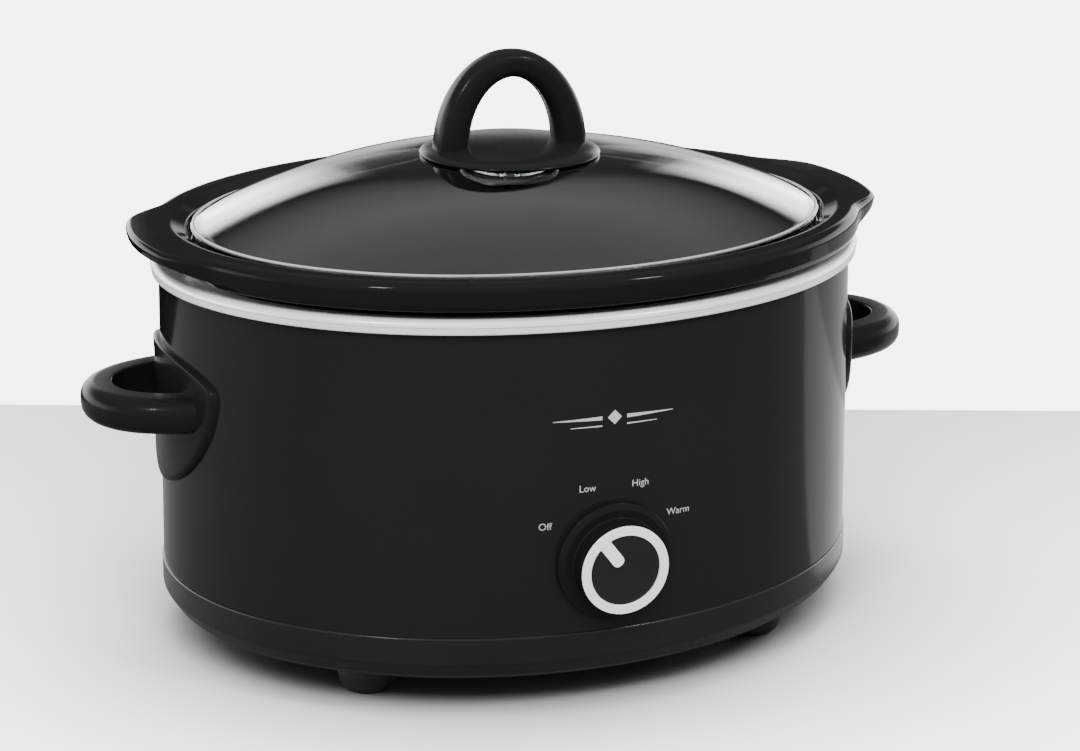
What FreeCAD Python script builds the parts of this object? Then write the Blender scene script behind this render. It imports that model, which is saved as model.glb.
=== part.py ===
import FreeCAD, Part
import math
import os

# Oval slow cooker with a lift-out crock, in millimetres, +Z up.
# The floor is z = 0 and the origin is under the middle of the whole object's box.
# "Outset" is a distance outwards from the oval of HALF_LENGTH by HALF_DEPTH.

V = FreeCAD.Vector

# Shell and plan outline
HALF_LENGTH = 172.0
HALF_DEPTH = 137.3
SHELL_HEIGHT = 143.2
SHELL_WALL = 0.8
SHELL_FLARE = 0.02
SHELL_LAP = 2.2

# Feet and base tray
FOOT_HEIGHT = 17.0
FOOT_RADIUS = 14.0
FOOT_PAD_RADIUS = 9.0
FOOT_SPREAD_X = 0.5814
FOOT_SPREAD_Y = 0.5827
FOOT_STEM_RADIUS = 4.0
TRAY_HEIGHT = 22.4
TRAY_FLOOR = 2.8
TRAY_LIP = 0.8
TRAY_UPSTAND = 5.0
TRAY_UPSTAND_WALL = 2.0
TRAY_TUCK = 4.6
VENT_COUNT = 5
VENT_PITCH = 14.0
VENT_LENGTH = 46.0
VENT_WIDTH = 4.0

# Trim ring
RING_HEIGHT = 7.2
RING_OUTSET = 3.8
RING_INNER_OUTSET = -10.2
RING_TOP_FALL = 2.0

# Crock
CROCK_RIM_GAP = 3.2
CROCK_RIM_HEIGHT = 13.5
CROCK_RIM_OUTSET = 4.7
CROCK_SEAT_OUTSET = -8.8
CROCK_SEAT_DEPTH = 6.9
CROCK_SEAT_INNER = -24.0
CROCK_BODY_OUTSET = -15.0
CROCK_TAPER = 0.084
CROCK_WALL_FOOT = 8.0
CROCK_FLOOR = 8.2
CROCK_CORNER = 16.0
LUG_REACH = 16.2
LUG_HALF_WIDTH = 56.0
LUG_CORNER = 26.0
LUG_THICKNESS = 6.5
LUG_DROP = 0.8
CORE_OUTSET = -60.0

# Heating liner and heater
LINER_WALL = 0.8
LINER_GAP = 3.0
LINER_FLOOR_RISE = 11.4
BAND_THICKNESS = 3.0
BAND_HEIGHT = 55.0
BAND_RISE = 55.6
BAND_GAP = 28.0
EAR_REACH = 9.0
EAR_THICKNESS = 2.0
EAR_HEIGHT = 12.0
BAND_SCREW_RADIUS = 1.5
TAB_LENGTH = 9.0
TAB_OFFSET = 8.0
FUSE_RADIUS = 2.2
FUSE_LENGTH = 22.0
FUSE_Y = 30.0
CLIP_THICKNESS = 0.8
CLIP_WIDTH = 8.0

# Lid
LID_EDGE_OUTSET = -16.0
LID_EDGE_HEIGHT = 3.9
LID_GLASS = 4.0
LID_RISE = 28.5
LID_TOP_RADIUS = 42.0
LID_FULLNESS = 1.9
LID_SECTIONS = 6
DIMPLE_RADIUS = 25.0
DIMPLE_DEPTH = 8.0
LID_HOLE_RADIUS = 3.2

# Lid handle
DISC_RADIUS = 43.8
DISC_GAP = 0.6
DISC_EDGE = 3.4
DISC_CROWN = 3.6
BOSS_RADIUS = 21.0
LOOP_HALF_WIDTH = 38.4
LOOP_LEG = 16.3
LOOP_DEPTH = 18.0
LOOP_TOP = 44.6
LOOP_BAR = 13.0
LOOP_ROUND = 5.8
LOOP_LEAN = 3.5
LOOP_CORNER = 33.0
GASKET = 1.0
INSERT_RADIUS = 4.2
INSERT_LENGTH = 12.0
LID_SCREW_RADIUS = 2.5
LID_SCREW_HEAD = 4.8

# Side handles
GRIP_REACH = 40.0
GRIP_HALF_WIDTH = 43.0
GRIP_BAR = 14.0
GRIP_HEIGHT = 16.0
GRIP_CORNER = 34.0
GRIP_ROUND = 6.0
GRIP_RISE = 0.618 * SHELL_HEIGHT
PLATE_THICKNESS = 3.0
PLATE_UP = 30.2
PLATE_DOWN = 41.5
PLATE_HALF_WIDTH = 58.0
PLATE_ARCH = 7.0
PLATE_CORNER = 17.0
PLATE_TAPER = 6.0
PLATE_FOOT_HALF_WIDTH = 34.0
PLATE_FOOT_CORNER = 30.0
GRIP_SCREW_Y = GRIP_HALF_WIDTH - 8.0
GRIP_SCREW_RADIUS = 2.0
GRIP_SCREW_BITE = 12.0

# Knob and switch
KNOB_RISE = 33.3
KNOB_RADIUS = 21.0
KNOB_HEIGHT = 9.5
SKIRT_RADIUS = 28.0
SKIRT_THICKNESS = 2.6
KNOB_CLEARANCE = 0.8
KNOB_HUB_RADIUS = 6.0
FACE_RING_WIDTH = 4.3
FACE_RING_THICKNESS = 1.0
FACE_RING_PROUD = 0.4
POINTER_WIDTH = 5.5
POINTER_START = 4.0
POINTER_ANGLE = 127.0
SHAFT_RADIUS = 3.0
SHAFT_CLEARANCE = 0.05
BUSH_RADIUS = 4.5
SWITCH_SIZE = 30.0
SWITCH_WALL = 3.0
SWITCH_DEPTH = 17.0
SWITCH_COVER = 2.0
NUT_FLATS = 12.0
NUT_THICKNESS = 2.0
BLADE_WIDTH = 6.3
BLADE_THICKNESS = 0.8
BLADE_LENGTH = 7.0
BLADE_PITCH = 8.6
CONNECTOR_LENGTH = 8.0

# Fasteners, brackets, leads and bushing
BRACKET_X = 75.0
BRACKET_HALF_WIDTH = 10.0
BRACKET_LENGTH = 80.0
BRACKET_FLANGE = 8.0
BRACKET_SHEET = 1.2
POST_RADIUS = 6.0
POST_HEIGHT = 10.2
BASE_SCREW_RADIUS = 1.8
BASE_SCREW_Y = 25.0
SCREW_HEAD_HEIGHT = 2.2
WASHER_THICKNESS = 1.0
BUSHING_RADIUS = 5.6
BUSHING_RISE = 14.8
BUSHING_FLANGE = 9.0
BUSHING_BORE = 3.4
BUSHING_REACH = 5.0
LEAD_RADIUS = 1.1
CRIMP_RADIUS = 2.6
CRIMP_LENGTH = 12.0
CRIMP_X = 14.0
TOUCH_GAP = 0.15

# Places worked out from the sizes above
TRAY_BOTTOM = FOOT_HEIGHT
TRAY_FLOOR_TOP = TRAY_BOTTOM + TRAY_FLOOR
SHELL_BOTTOM = TRAY_BOTTOM + TRAY_HEIGHT
RING_BOTTOM = SHELL_BOTTOM + SHELL_HEIGHT
SHELL_TOP = RING_BOTTOM + SHELL_LAP
RING_TOP = RING_BOTTOM + RING_HEIGHT
RIM_BOTTOM = RING_TOP + CROCK_RIM_GAP
RIM_TOP = RIM_BOTTOM + CROCK_RIM_HEIGHT
SEAT_Z = RIM_TOP - CROCK_SEAT_DEPTH
CROCK_BOTTOM = SHELL_BOTTOM + LINER_FLOOR_RISE
LINER_UNDER = CROCK_BOTTOM - LINER_WALL
LID_EDGE_TOP = SEAT_Z + LID_EDGE_HEIGHT
LID_TOP = LID_EDGE_TOP + LID_RISE
DISC_BOTTOM = LID_TOP + DISC_GAP
DISC_TOP = DISC_BOTTOM + DISC_EDGE
DIMPLE_FLOOR = LID_TOP - DIMPLE_DEPTH
BAND_BOTTOM = SHELL_BOTTOM + BAND_RISE
GRIP_Z = SHELL_BOTTOM + GRIP_RISE
KNOB_Z = SHELL_BOTTOM + KNOB_RISE
FOOT_X = FOOT_SPREAD_X * HALF_LENGTH
FOOT_Y = FOOT_SPREAD_Y * HALF_DEPTH

# The oval is four arcs: two end arcs on the X axis and two side arcs on the Y axis.
END_RADIUS = 1.07 * HALF_DEPTH ** 2 / HALF_LENGTH
END_X = HALF_LENGTH - END_RADIUS
SIDE_Y = (END_X ** 2 - (HALF_DEPTH - END_RADIUS) ** 2) / (2 * (HALF_DEPTH - END_RADIUS))
SIDE_RADIUS = HALF_DEPTH + SIDE_Y
END_ANGLE = math.degrees(math.atan2(SIDE_Y, END_X))
OVAL_ARCS = [
    (END_X, 0, END_RADIUS, -END_ANGLE, 2 * END_ANGLE),
    (0, -SIDE_Y, SIDE_RADIUS, END_ANGLE, 180 - 2 * END_ANGLE),
    (-END_X, 0, END_RADIUS, 180 - END_ANGLE, 2 * END_ANGLE),
    (0, SIDE_Y, SIDE_RADIUS, 180 + END_ANGLE, 180 - 2 * END_ANGLE),
]


def shell_outset(z):
    """Outset of the shell's outer face: it widens evenly towards the bottom."""
    return (RING_BOTTOM - z) * SHELL_FLARE


def crock_outset(z):
    """Outset of the crock's outer wall, which narrows towards the bottom."""
    return CROCK_BODY_OUTSET - (RIM_BOTTOM - z) * CROCK_TAPER


def liner_outset(z):
    """Outset of the liner's outer face: the crock's wall, a gap and the sheet."""
    return crock_outset(z) + LINER_GAP + LINER_WALL


def front_sag(half_width, outset=0.0):
    """How far the front wall falls back at half_width from the middle."""
    radius = SIDE_RADIUS + outset
    return radius - math.sqrt(radius ** 2 - half_width ** 2)


# Where the front and back pieces start, measured outwards from the Y = 0 plane
KNOB_BACK = HALF_DEPTH + shell_outset(KNOB_Z - SKIRT_RADIUS) + KNOB_CLEARANCE
KNOB_FACE = KNOB_BACK + SKIRT_THICKNESS + KNOB_HEIGHT
KNOB_FRONT = KNOB_FACE + FACE_RING_THICKNESS
SWITCH_FRONT = (HALF_DEPTH + shell_outset(KNOB_Z + SWITCH_SIZE / 2) - SHELL_WALL
                - front_sag(SWITCH_SIZE / 2) - TOUCH_GAP)
SWITCH_BACK = SWITCH_FRONT - SWITCH_DEPTH
NUT_BACK = HALF_DEPTH + shell_outset(KNOB_Z - NUT_FLATS / 2) + TOUCH_GAP
BUSH_END = NUT_BACK + NUT_THICKNESS + 0.6
BLADE_Y = SWITCH_FRONT - 0.55 * SWITCH_DEPTH
TRAY_OUTSET = shell_outset(SHELL_BOTTOM) + TRAY_LIP
UPSTAND_OUTSET = shell_outset(SHELL_BOTTOM) - SHELL_WALL - TOUCH_GAP
UPSTAND_INNER = UPSTAND_OUTSET - TRAY_UPSTAND_WALL
BUSHING_Z = TRAY_BOTTOM + BUSHING_RISE
TRAY_COVE = BUSHING_RISE - BUSHING_RADIUS - 1.2
BUSHING_BACK = HALF_DEPTH + TRAY_OUTSET + BUSHING_REACH
CENTRE_Y = (BUSHING_BACK - KNOB_FRONT) / 2


# ---- outlines and sweeps -------------------------------------------------

def outline(points):
    """Closed face in the XZ plane from (x, z, corner radius) points."""
    spots = [V(x, 0, z) for x, z, radius in points]
    edges = []
    first = last = None
    for i, spot in enumerate(spots):
        radius = points[i][2]
        arrive = (spot - spots[i - 1]).normalize()
        leave = (spots[(i + 1) % len(spots)] - spot).normalize()
        half_turn = arrive.getAngle(leave) / 2
        if radius > 0 and half_turn > 1e-4:
            run = radius * math.tan(half_turn)
            start = spot - arrive * run
            end = spot + leave * run
            bulge = (leave - arrive).normalize() * radius * (1 / math.cos(half_turn) - 1)
            arc = Part.Arc(start, spot + bulge, end).toShape()
        else:
            start = end = spot
            arc = None
        if last is not None and (start - last).Length > 1e-6:
            edges.append(Part.LineSegment(last, start).toShape())
        if arc:
            edges.append(arc)
        first = first or start
        last = end
    if (last - first).Length > 1e-6:
        edges.append(Part.LineSegment(last, first).toShape())
    return Part.Face(Part.Wire(edges))


def turned(points):
    """Solid of revolution about Z from (radius, z, corner radius) points."""
    return outline(points).revolve(V(), V(0, 0, 1), 360)


def oval_band(points):
    """Sweep (outset, z, corner radius) points all the way round the oval."""
    quarters = []
    for x, y, radius, start, sweep in OVAL_ARCS:
        face = outline([(radius + out, z, corner) for out, z, corner in points])
        face.rotate(V(), V(0, 0, 1), start)
        quarter = face.revolve(V(), V(0, 0, 1), sweep)
        quarter.translate(V(x, y, 0))
        quarters.append(quarter)
    return quarters[0].multiFuse(quarters[1:]).removeSplitter()


def oval_slab(outset, bottom, top):
    """Solid oval plate between two heights."""
    edges = []
    for x, y, radius, start, sweep in OVAL_ARCS:
        circle = Part.Circle(V(x, y, bottom), V(0, 0, 1), radius + outset)
        edges.append(circle.toShape(math.radians(start), math.radians(start + sweep)))
    return Part.Face(Part.Wire(edges)).extrude(V(0, 0, top - bottom))


def oval_pan(points, floor_bottom, floor_top):
    """Band whose outline starts and ends at CORE_OUTSET, with its floor filled in."""
    band = oval_band(points)
    return band.fuse(oval_slab(CORE_OUTSET, floor_bottom, floor_top)).removeSplitter()


def block(x, y, z, size_x, size_y, size_z):
    """Box centred on x and y, standing on z."""
    return Part.makeBox(size_x, size_y, size_z, V(x - size_x / 2, y - size_y / 2, z))


def rod(radius, length, at=V(), along=V(0, 0, 1)):
    return Part.makeCylinder(radius, length, at, along)


def to_front(shape, z):
    """Turn a shape built along +Z so that it points to the front, at height z."""
    shape.rotate(V(), V(1, 0, 0), 90)
    shape.translate(V(0, 0, z))
    return shape


def to_back(shape, z):
    shape.rotate(V(), V(1, 0, 0), -90)
    shape.translate(V(0, 0, z))
    return shape


def mirrored(shape):
    return shape.mirror(V(), V(1, 0, 0))


def rounded(shape, radius, keep):
    """Fillet the edges whose middle passes keep."""
    edges = [e for e in shape.Edges if keep(e.CenterOfMass)]
    return shape.makeFillet(radius, edges)


def tube(points, radius):
    """Round lead along straight runs joined by tangent arcs."""
    spots = [V(*p) for p in points]
    edges = []
    last = spots[0]
    for before, spot, after in zip(spots, spots[1:], spots[2:]):
        arrive = (spot - before).normalize()
        leave = (after - spot).normalize()
        half_turn = arrive.getAngle(leave) / 2
        run = 0.45 * min((spot - before).Length, (after - spot).Length)
        bend = run / math.tan(half_turn)
        bulge = (leave - arrive).normalize() * bend * (1 / math.cos(half_turn) - 1)
        edges.append(Part.LineSegment(last, spot - arrive * run).toShape())
        last = spot + leave * run
        edges.append(Part.Arc(spot - arrive * run, spot + bulge, last).toShape())
        print("lead bend radius", round(bend, 1))
    edges.append(Part.LineSegment(last, spots[-1]).toShape())
    path = Part.Wire(edges)
    ring = Part.Circle(spots[0], spots[1] - spots[0], radius).toShape()
    return path.makePipeShell([Part.Wire(ring)], True, False)


# ---- shell, tray and feet -------------------------------------------------

def outer_shell():
    low = shell_outset(SHELL_BOTTOM)
    high = shell_outset(SHELL_TOP)
    shell = oval_band([
        (low - SHELL_WALL, SHELL_BOTTOM, 0), (low, SHELL_BOTTOM, 0),
        (high, SHELL_TOP, 0), (high - SHELL_WALL, SHELL_TOP, 0),
    ])
    shell = shell.cut(to_front(rod(BUSH_RADIUS + 0.3, 40, V(0, 0, SWITCH_BACK)), KNOB_Z))
    for hole in grip_screw_places(rod(GRIP_SCREW_RADIUS + 0.3, 20, V(END_RADIUS - 10, 0, 0), V(1, 0, 0))):
        shell = shell.cut(hole)
    return shell


def shell_inside():
    """Everything inside the shell's outer face, as a cutter."""
    low, high = TRAY_BOTTOM, RIM_TOP
    return oval_band([
        (CORE_OUTSET, low, 0), (shell_outset(low), low, 0),
        (shell_outset(high), high, 0), (CORE_OUTSET, high, 0),
    ])


def foot_places():
    return {
        "foot_front_left": (-FOOT_X, -FOOT_Y), "foot_front_right": (FOOT_X, -FOOT_Y),
        "foot_back_left": (-FOOT_X, FOOT_Y), "foot_back_right": (FOOT_X, FOOT_Y),
    }


def foot(x, y):
    head = FOOT_STEM_RADIUS + 1.4
    pad = turned([
        (0, 0, 0), (FOOT_PAD_RADIUS, 0, 1.5), (FOOT_RADIUS, 5, 4),
        (FOOT_RADIUS, TRAY_BOTTOM, 0), (FOOT_STEM_RADIUS, TRAY_BOTTOM, 0),
        (FOOT_STEM_RADIUS, TRAY_FLOOR_TOP, 0), (head, TRAY_FLOOR_TOP, 0),
        (FOOT_STEM_RADIUS - 1, TRAY_FLOOR_TOP + 4, 0), (0, TRAY_FLOOR_TOP + 4, 0),
    ])
    pad.translate(V(x, y, 0))
    return pad


def base_screw_places():
    return [(x, y) for x in (-BRACKET_X, BRACKET_X) for y in (-BASE_SCREW_Y, BASE_SCREW_Y)]


def base_tray():
    upstand_top = SHELL_BOTTOM + TRAY_UPSTAND
    tray = oval_pan([
        (CORE_OUTSET, TRAY_BOTTOM, 0), (TRAY_OUTSET - TRAY_TUCK, TRAY_BOTTOM, 5),
        (TRAY_OUTSET, TRAY_BOTTOM + TRAY_COVE, 9), (TRAY_OUTSET, SHELL_BOTTOM, 0.6),
        (UPSTAND_OUTSET, SHELL_BOTTOM, 0), (UPSTAND_OUTSET, upstand_top, 0.5),
        (UPSTAND_INNER, upstand_top, 0.5), (UPSTAND_INNER, TRAY_BOTTOM + TRAY_COVE, 1),
        (UPSTAND_INNER - TRAY_TUCK, TRAY_FLOOR_TOP, 4), (CORE_OUTSET, TRAY_FLOOR_TOP, 0),
    ], TRAY_BOTTOM, TRAY_FLOOR_TOP)
    tools = []
    for x, y in base_screw_places():
        tray = tray.fuse(rod(POST_RADIUS, POST_HEIGHT, V(x, y, TRAY_FLOOR_TOP)))
        tools.append(rod(BASE_SCREW_RADIUS + 0.2, 40, V(x, y, 0)))
        tools.append(rod(2 * BASE_SCREW_RADIUS + 0.6, SCREW_HEAD_HEIGHT + 0.6, V(x, y, TRAY_BOTTOM)))
    for x, y in foot_places().values():
        tools.append(rod(FOOT_STEM_RADIUS, TRAY_FLOOR, V(x, y, TRAY_BOTTOM)))
    for row in range(VENT_COUNT):
        y = (row - (VENT_COUNT - 1) / 2) * VENT_PITCH
        tools.append(block(0, y, TRAY_BOTTOM - 1, VENT_LENGTH, VENT_WIDTH, TRAY_FLOOR + 2))
    tools.append(to_back(rod(BUSHING_RADIUS, 30, V(0, 0, HALF_DEPTH - 15)), BUSHING_Z))
    return tray.cut(tools)


def base_screws():
    screws = []
    grip_top = TRAY_FLOOR_TOP + POST_HEIGHT + BRACKET_SHEET + 2
    for x, y in base_screw_places():
        screw = turned([
            (0, TRAY_BOTTOM + 0.6, 0), (2 * BASE_SCREW_RADIUS, TRAY_BOTTOM + 0.6, 0.8),
            (2 * BASE_SCREW_RADIUS, TRAY_BOTTOM + 0.6 + SCREW_HEAD_HEIGHT, 0),
            (BASE_SCREW_RADIUS, TRAY_BOTTOM + 0.6 + SCREW_HEAD_HEIGHT, 0),
            (BASE_SCREW_RADIUS, grip_top, 0.4), (0, grip_top, 0),
        ])
        screw.translate(V(x, y, 0))
        screws.append(screw)
    return Part.makeCompound(screws)


def tie_bracket():
    """Hat-section bracket between the liner's floor and the tray's posts."""
    web = TRAY_FLOOR_TOP + POST_HEIGHT
    wide = BRACKET_HALF_WIDTH
    sheet = BRACKET_SHEET
    hat = outline([
        (-wide, web, 1.5), (wide, web, 1.5), (wide, LINER_UNDER - sheet, 0.5),
        (wide + BRACKET_FLANGE, LINER_UNDER - sheet, 0), (wide + BRACKET_FLANGE, LINER_UNDER, 0),
        (wide - sheet, LINER_UNDER, 0.5), (wide - sheet, web + sheet, 0.5),
        (sheet - wide, web + sheet, 0.5), (sheet - wide, LINER_UNDER, 0.5),
        (-wide - BRACKET_FLANGE, LINER_UNDER, 0), (-wide - BRACKET_FLANGE, LINER_UNDER - sheet, 0),
        (-wide, LINER_UNDER - sheet, 0.5),
    ])
    hat.translate(V(BRACKET_X, -BRACKET_LENGTH / 2, 0))
    bracket = hat.extrude(V(0, BRACKET_LENGTH, 0))
    for y in (-BASE_SCREW_Y, BASE_SCREW_Y):
        bracket = bracket.cut(rod(BASE_SCREW_RADIUS, 60, V(BRACKET_X, y, 0)))
    return bracket


def cord_bushing():
    """Snap-in ring round the hole where the supply cord enters."""
    wall_out = HALF_DEPTH + TRAY_OUTSET + TOUCH_GAP
    wall_in = HALF_DEPTH + UPSTAND_INNER - front_sag(BUSHING_FLANGE) - TOUCH_GAP
    ring = turned([
        (BUSHING_BORE, wall_in - 3, 0.4), (BUSHING_RADIUS + 1, wall_in - 3, 0.6),
        (BUSHING_RADIUS + 1, wall_in, 0.2), (BUSHING_RADIUS, wall_in, 0),
        (BUSHING_RADIUS, wall_out, 0), (BUSHING_FLANGE, wall_out, 0.4),
        (BUSHING_FLANGE, wall_out + 2, 0.8), (BUSHING_RADIUS, BUSHING_BACK, 0.6),
        (BUSHING_BORE, BUSHING_BACK, 0.4),
    ])
    return to_back(ring, BUSHING_Z)


# ---- ring, liner and heater -----------------------------------------------

def trim_ring():
    seat = SHELL_TOP + LINER_WALL
    skirt = shell_outset(RING_BOTTOM) + TOUCH_GAP
    return oval_band([
        (skirt, RING_BOTTOM, 0.3), (RING_OUTSET, RING_BOTTOM, 1.0),
        (RING_OUTSET, RING_TOP, 3.0), (RING_INNER_OUTSET, RING_TOP - RING_TOP_FALL, 0.5),
        (RING_INNER_OUTSET, seat, 0.2), (skirt, seat, 0.2),
    ])


def heating_liner():
    top = SHELL_TOP + LINER_WALL
    foot_out = liner_outset(LINER_UNDER)
    flange_out = shell_outset(SHELL_TOP) - TOUCH_GAP
    return oval_pan([
        (CORE_OUTSET, LINER_UNDER, 0), (foot_out, LINER_UNDER, CROCK_CORNER + 2 + LINER_WALL),
        (liner_outset(SHELL_TOP), SHELL_TOP, 0.8), (flange_out, SHELL_TOP, 0),
        (flange_out, top, 0), (liner_outset(top) - LINER_WALL, top, 1.6),
        (foot_out - LINER_WALL, CROCK_BOTTOM, CROCK_CORNER + 2), (CORE_OUTSET, CROCK_BOTTOM, 0),
    ], LINER_UNDER, CROCK_BOTTOM)


def band_front(z):
    """Distance of the band's outer face from the Y = 0 plane, at the front."""
    return HALF_DEPTH + liner_outset(z) + BAND_THICKNESS


def heater_band():
    low, high = BAND_BOTTOM, BAND_BOTTOM + BAND_HEIGHT
    band = oval_band([
        (liner_outset(low), low, 0), (liner_outset(low) + BAND_THICKNESS, low, 0),
        (liner_outset(high) + BAND_THICKNESS, high, 0), (liner_outset(high), high, 0),
    ])
    band = band.cut(block(0, -HALF_DEPTH, low - 1, BAND_GAP, HALF_DEPTH, BAND_HEIGHT + 2))
    middle = (low + high) / 2
    ear_y = -band_front(middle) - EAR_REACH / 2 + 1
    for side in (-1, 1):
        x = side * (BAND_GAP + EAR_THICKNESS) / 2
        ear = block(x, ear_y, middle - EAR_HEIGHT / 2, EAR_THICKNESS, EAR_REACH + 2, EAR_HEIGHT)
        band = band.fuse(ear)
    hole_y = -band_front(middle) - EAR_REACH / 2
    return band.cut(rod(BAND_SCREW_RADIUS + 0.1, 60, V(-30, hole_y, middle), V(1, 0, 0)))


def band_screw():
    """Screw and nut that draw the band's two ears together."""
    middle = BAND_BOTTOM + BAND_HEIGHT / 2
    end = BAND_GAP / 2 + EAR_THICKNESS
    head = turned([
        (0, -end - 2.2, 0), (3, -end - 2.2, 0.8), (3, -end, 0), (BAND_SCREW_RADIUS, -end, 0),
        (BAND_SCREW_RADIUS, end, 0), (3, end, 0), (3, end + 2.2, 0.4), (0, end + 2.2, 0),
    ])
    head.rotate(V(), V(0, 1, 0), 90)
    head.translate(V(0, -band_front(middle) - EAR_REACH / 2, middle))
    return head


def tab_places():
    """Lower ends of the band's three connection tabs: x and y."""
    z = BAND_BOTTOM
    middle = liner_outset(z) + BAND_THICKNESS / 2
    places = []
    for x in (-BAND_GAP / 2 - TAB_OFFSET, BAND_GAP / 2 + TAB_OFFSET, BAND_GAP / 2 + 3 * TAB_OFFSET):
        places.append((x, front_sag(abs(x), middle) - HALF_DEPTH - middle))
    return places


def heater_tabs():
    tabs = []
    for x, y in tab_places():
        tabs.append(block(x, y, BAND_BOTTOM - TAB_LENGTH, BLADE_WIDTH, BLADE_THICKNESS, TAB_LENGTH))
    return Part.makeCompound(tabs)


def thermal_fuse():
    z = LINER_UNDER - FUSE_RADIUS - TOUCH_GAP
    return rod(FUSE_RADIUS, FUSE_LENGTH, V(-FUSE_LENGTH / 2, FUSE_Y, z), V(1, 0, 0))


def fuse_clip():
    """Saddle strap that holds the fuse against the liner's floor."""
    inner = FUSE_RADIUS + TOUCH_GAP
    outer = inner + CLIP_THICKNESS
    wing = outer + 6
    deep = LINER_UNDER - 2 * inner
    strap = outline([
        (-wing, LINER_UNDER, 0), (-wing, LINER_UNDER - CLIP_THICKNESS, 0),
        (-outer, LINER_UNDER - CLIP_THICKNESS, 0), (-outer, deep - CLIP_THICKNESS, outer - 0.1),
        (outer, deep - CLIP_THICKNESS, outer - 0.1), (outer, LINER_UNDER - CLIP_THICKNESS, 0),
        (wing, LINER_UNDER - CLIP_THICKNESS, 0), (wing, LINER_UNDER, 0),
        (inner, LINER_UNDER, 0), (inner, deep, inner - 0.1), (-inner, deep, inner - 0.1),
        (-inner, LINER_UNDER, 0),
    ])
    strap.rotate(V(), V(0, 0, 1), 90)
    strap.translate(V(-CLIP_WIDTH / 2, FUSE_Y, 0))
    return strap.extrude(V(CLIP_WIDTH, 0, 0))


# ---- crock and lid ----------------------------------------------------------

def lug():
    """Carrying lug at the right-hand end of the crock's rim."""
    tip = HALF_LENGTH + LUG_REACH
    root = HALF_LENGTH + CROCK_SEAT_OUTSET - 14
    plan = outline([
        (root, -LUG_HALF_WIDTH, 0), (tip, -LUG_HALF_WIDTH + 6, LUG_CORNER),
        (tip, LUG_HALF_WIDTH - 6, LUG_CORNER), (root, LUG_HALF_WIDTH, 0),
    ])
    plan.rotate(V(), V(1, 0, 0), -90)
    plan.translate(V(0, 0, RIM_TOP - LUG_DROP - LUG_THICKNESS))
    plate = plan.extrude(V(0, 0, LUG_THICKNESS))
    plate = rounded(plate, 2.0, lambda c: c.x > root + 1)
    return plate.cut(oval_slab(CROCK_SEAT_OUTSET + 2, 0, 2 * RIM_TOP))


def crock():
    floor = CROCK_BOTTOM + CROCK_FLOOR
    body = oval_pan([
        (CORE_OUTSET, CROCK_BOTTOM, 0), (crock_outset(CROCK_BOTTOM), CROCK_BOTTOM, CROCK_CORNER),
        (CROCK_BODY_OUTSET, RIM_BOTTOM, 3), (CROCK_RIM_OUTSET, RIM_BOTTOM, 2.5),
        (CROCK_RIM_OUTSET, RIM_TOP, 5), (CROCK_SEAT_OUTSET, RIM_TOP, 2.5),
        (CROCK_SEAT_OUTSET, SEAT_Z, 1), (CROCK_SEAT_INNER, SEAT_Z, 2.5),
        (crock_outset(floor) - CROCK_WALL_FOOT, floor, CROCK_CORNER - 2), (CORE_OUTSET, floor, 0),
    ], CROCK_BOTTOM, floor)
    side = lug()
    return body.fuse([side, mirrored(side)]).removeSplitter()


def dome(shrink, drop, bottom):
    """Solid under the lid's curved top: an oval edge that rises to a round top."""
    edge_x = HALF_LENGTH + LID_EDGE_OUTSET - shrink
    edge_y = HALF_DEPTH + LID_EDGE_OUTSET - shrink
    top = LID_TOP_RADIUS - shrink
    wires = []
    for step in range(LID_SECTIONS):
        part = step / (LID_SECTIONS - 1)
        across_x = edge_x + (top - edge_x) * part
        across_y = edge_y + (top - edge_y) * part
        z = LID_EDGE_TOP - drop + LID_RISE * (1 - (1 - part) ** LID_FULLNESS)
        if across_x - across_y > 1e-6:
            ring = Part.Ellipse(V(0, 0, z), across_x, across_y).toShape()
        else:
            ring = Part.Circle(V(0, 0, z), V(0, 0, 1), across_x).toShape()
        wires.append(Part.Wire(ring))
    cap = Part.makeLoft(wires, True)
    skirt = Part.Face(wires[0]).extrude(V(0, 0, bottom - LID_EDGE_TOP + drop))
    return cap.fuse(skirt)


def lid_glass():
    lid = dome(0, 0, SEAT_Z).cut(dome(LID_GLASS, LID_GLASS, SEAT_Z - 1))
    under = DIMPLE_FLOOR - LID_GLASS
    lid = lid.fuse(rod(DIMPLE_RADIUS + LID_GLASS, LID_TOP - LID_GLASS / 2 - under, V(0, 0, under)))
    lid = lid.cut(rod(DIMPLE_RADIUS, DIMPLE_DEPTH + 1, V(0, 0, DIMPLE_FLOOR)))
    return lid.cut(rod(LID_HOLE_RADIUS, 40, V(0, 0, under - 20))).removeSplitter()


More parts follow.
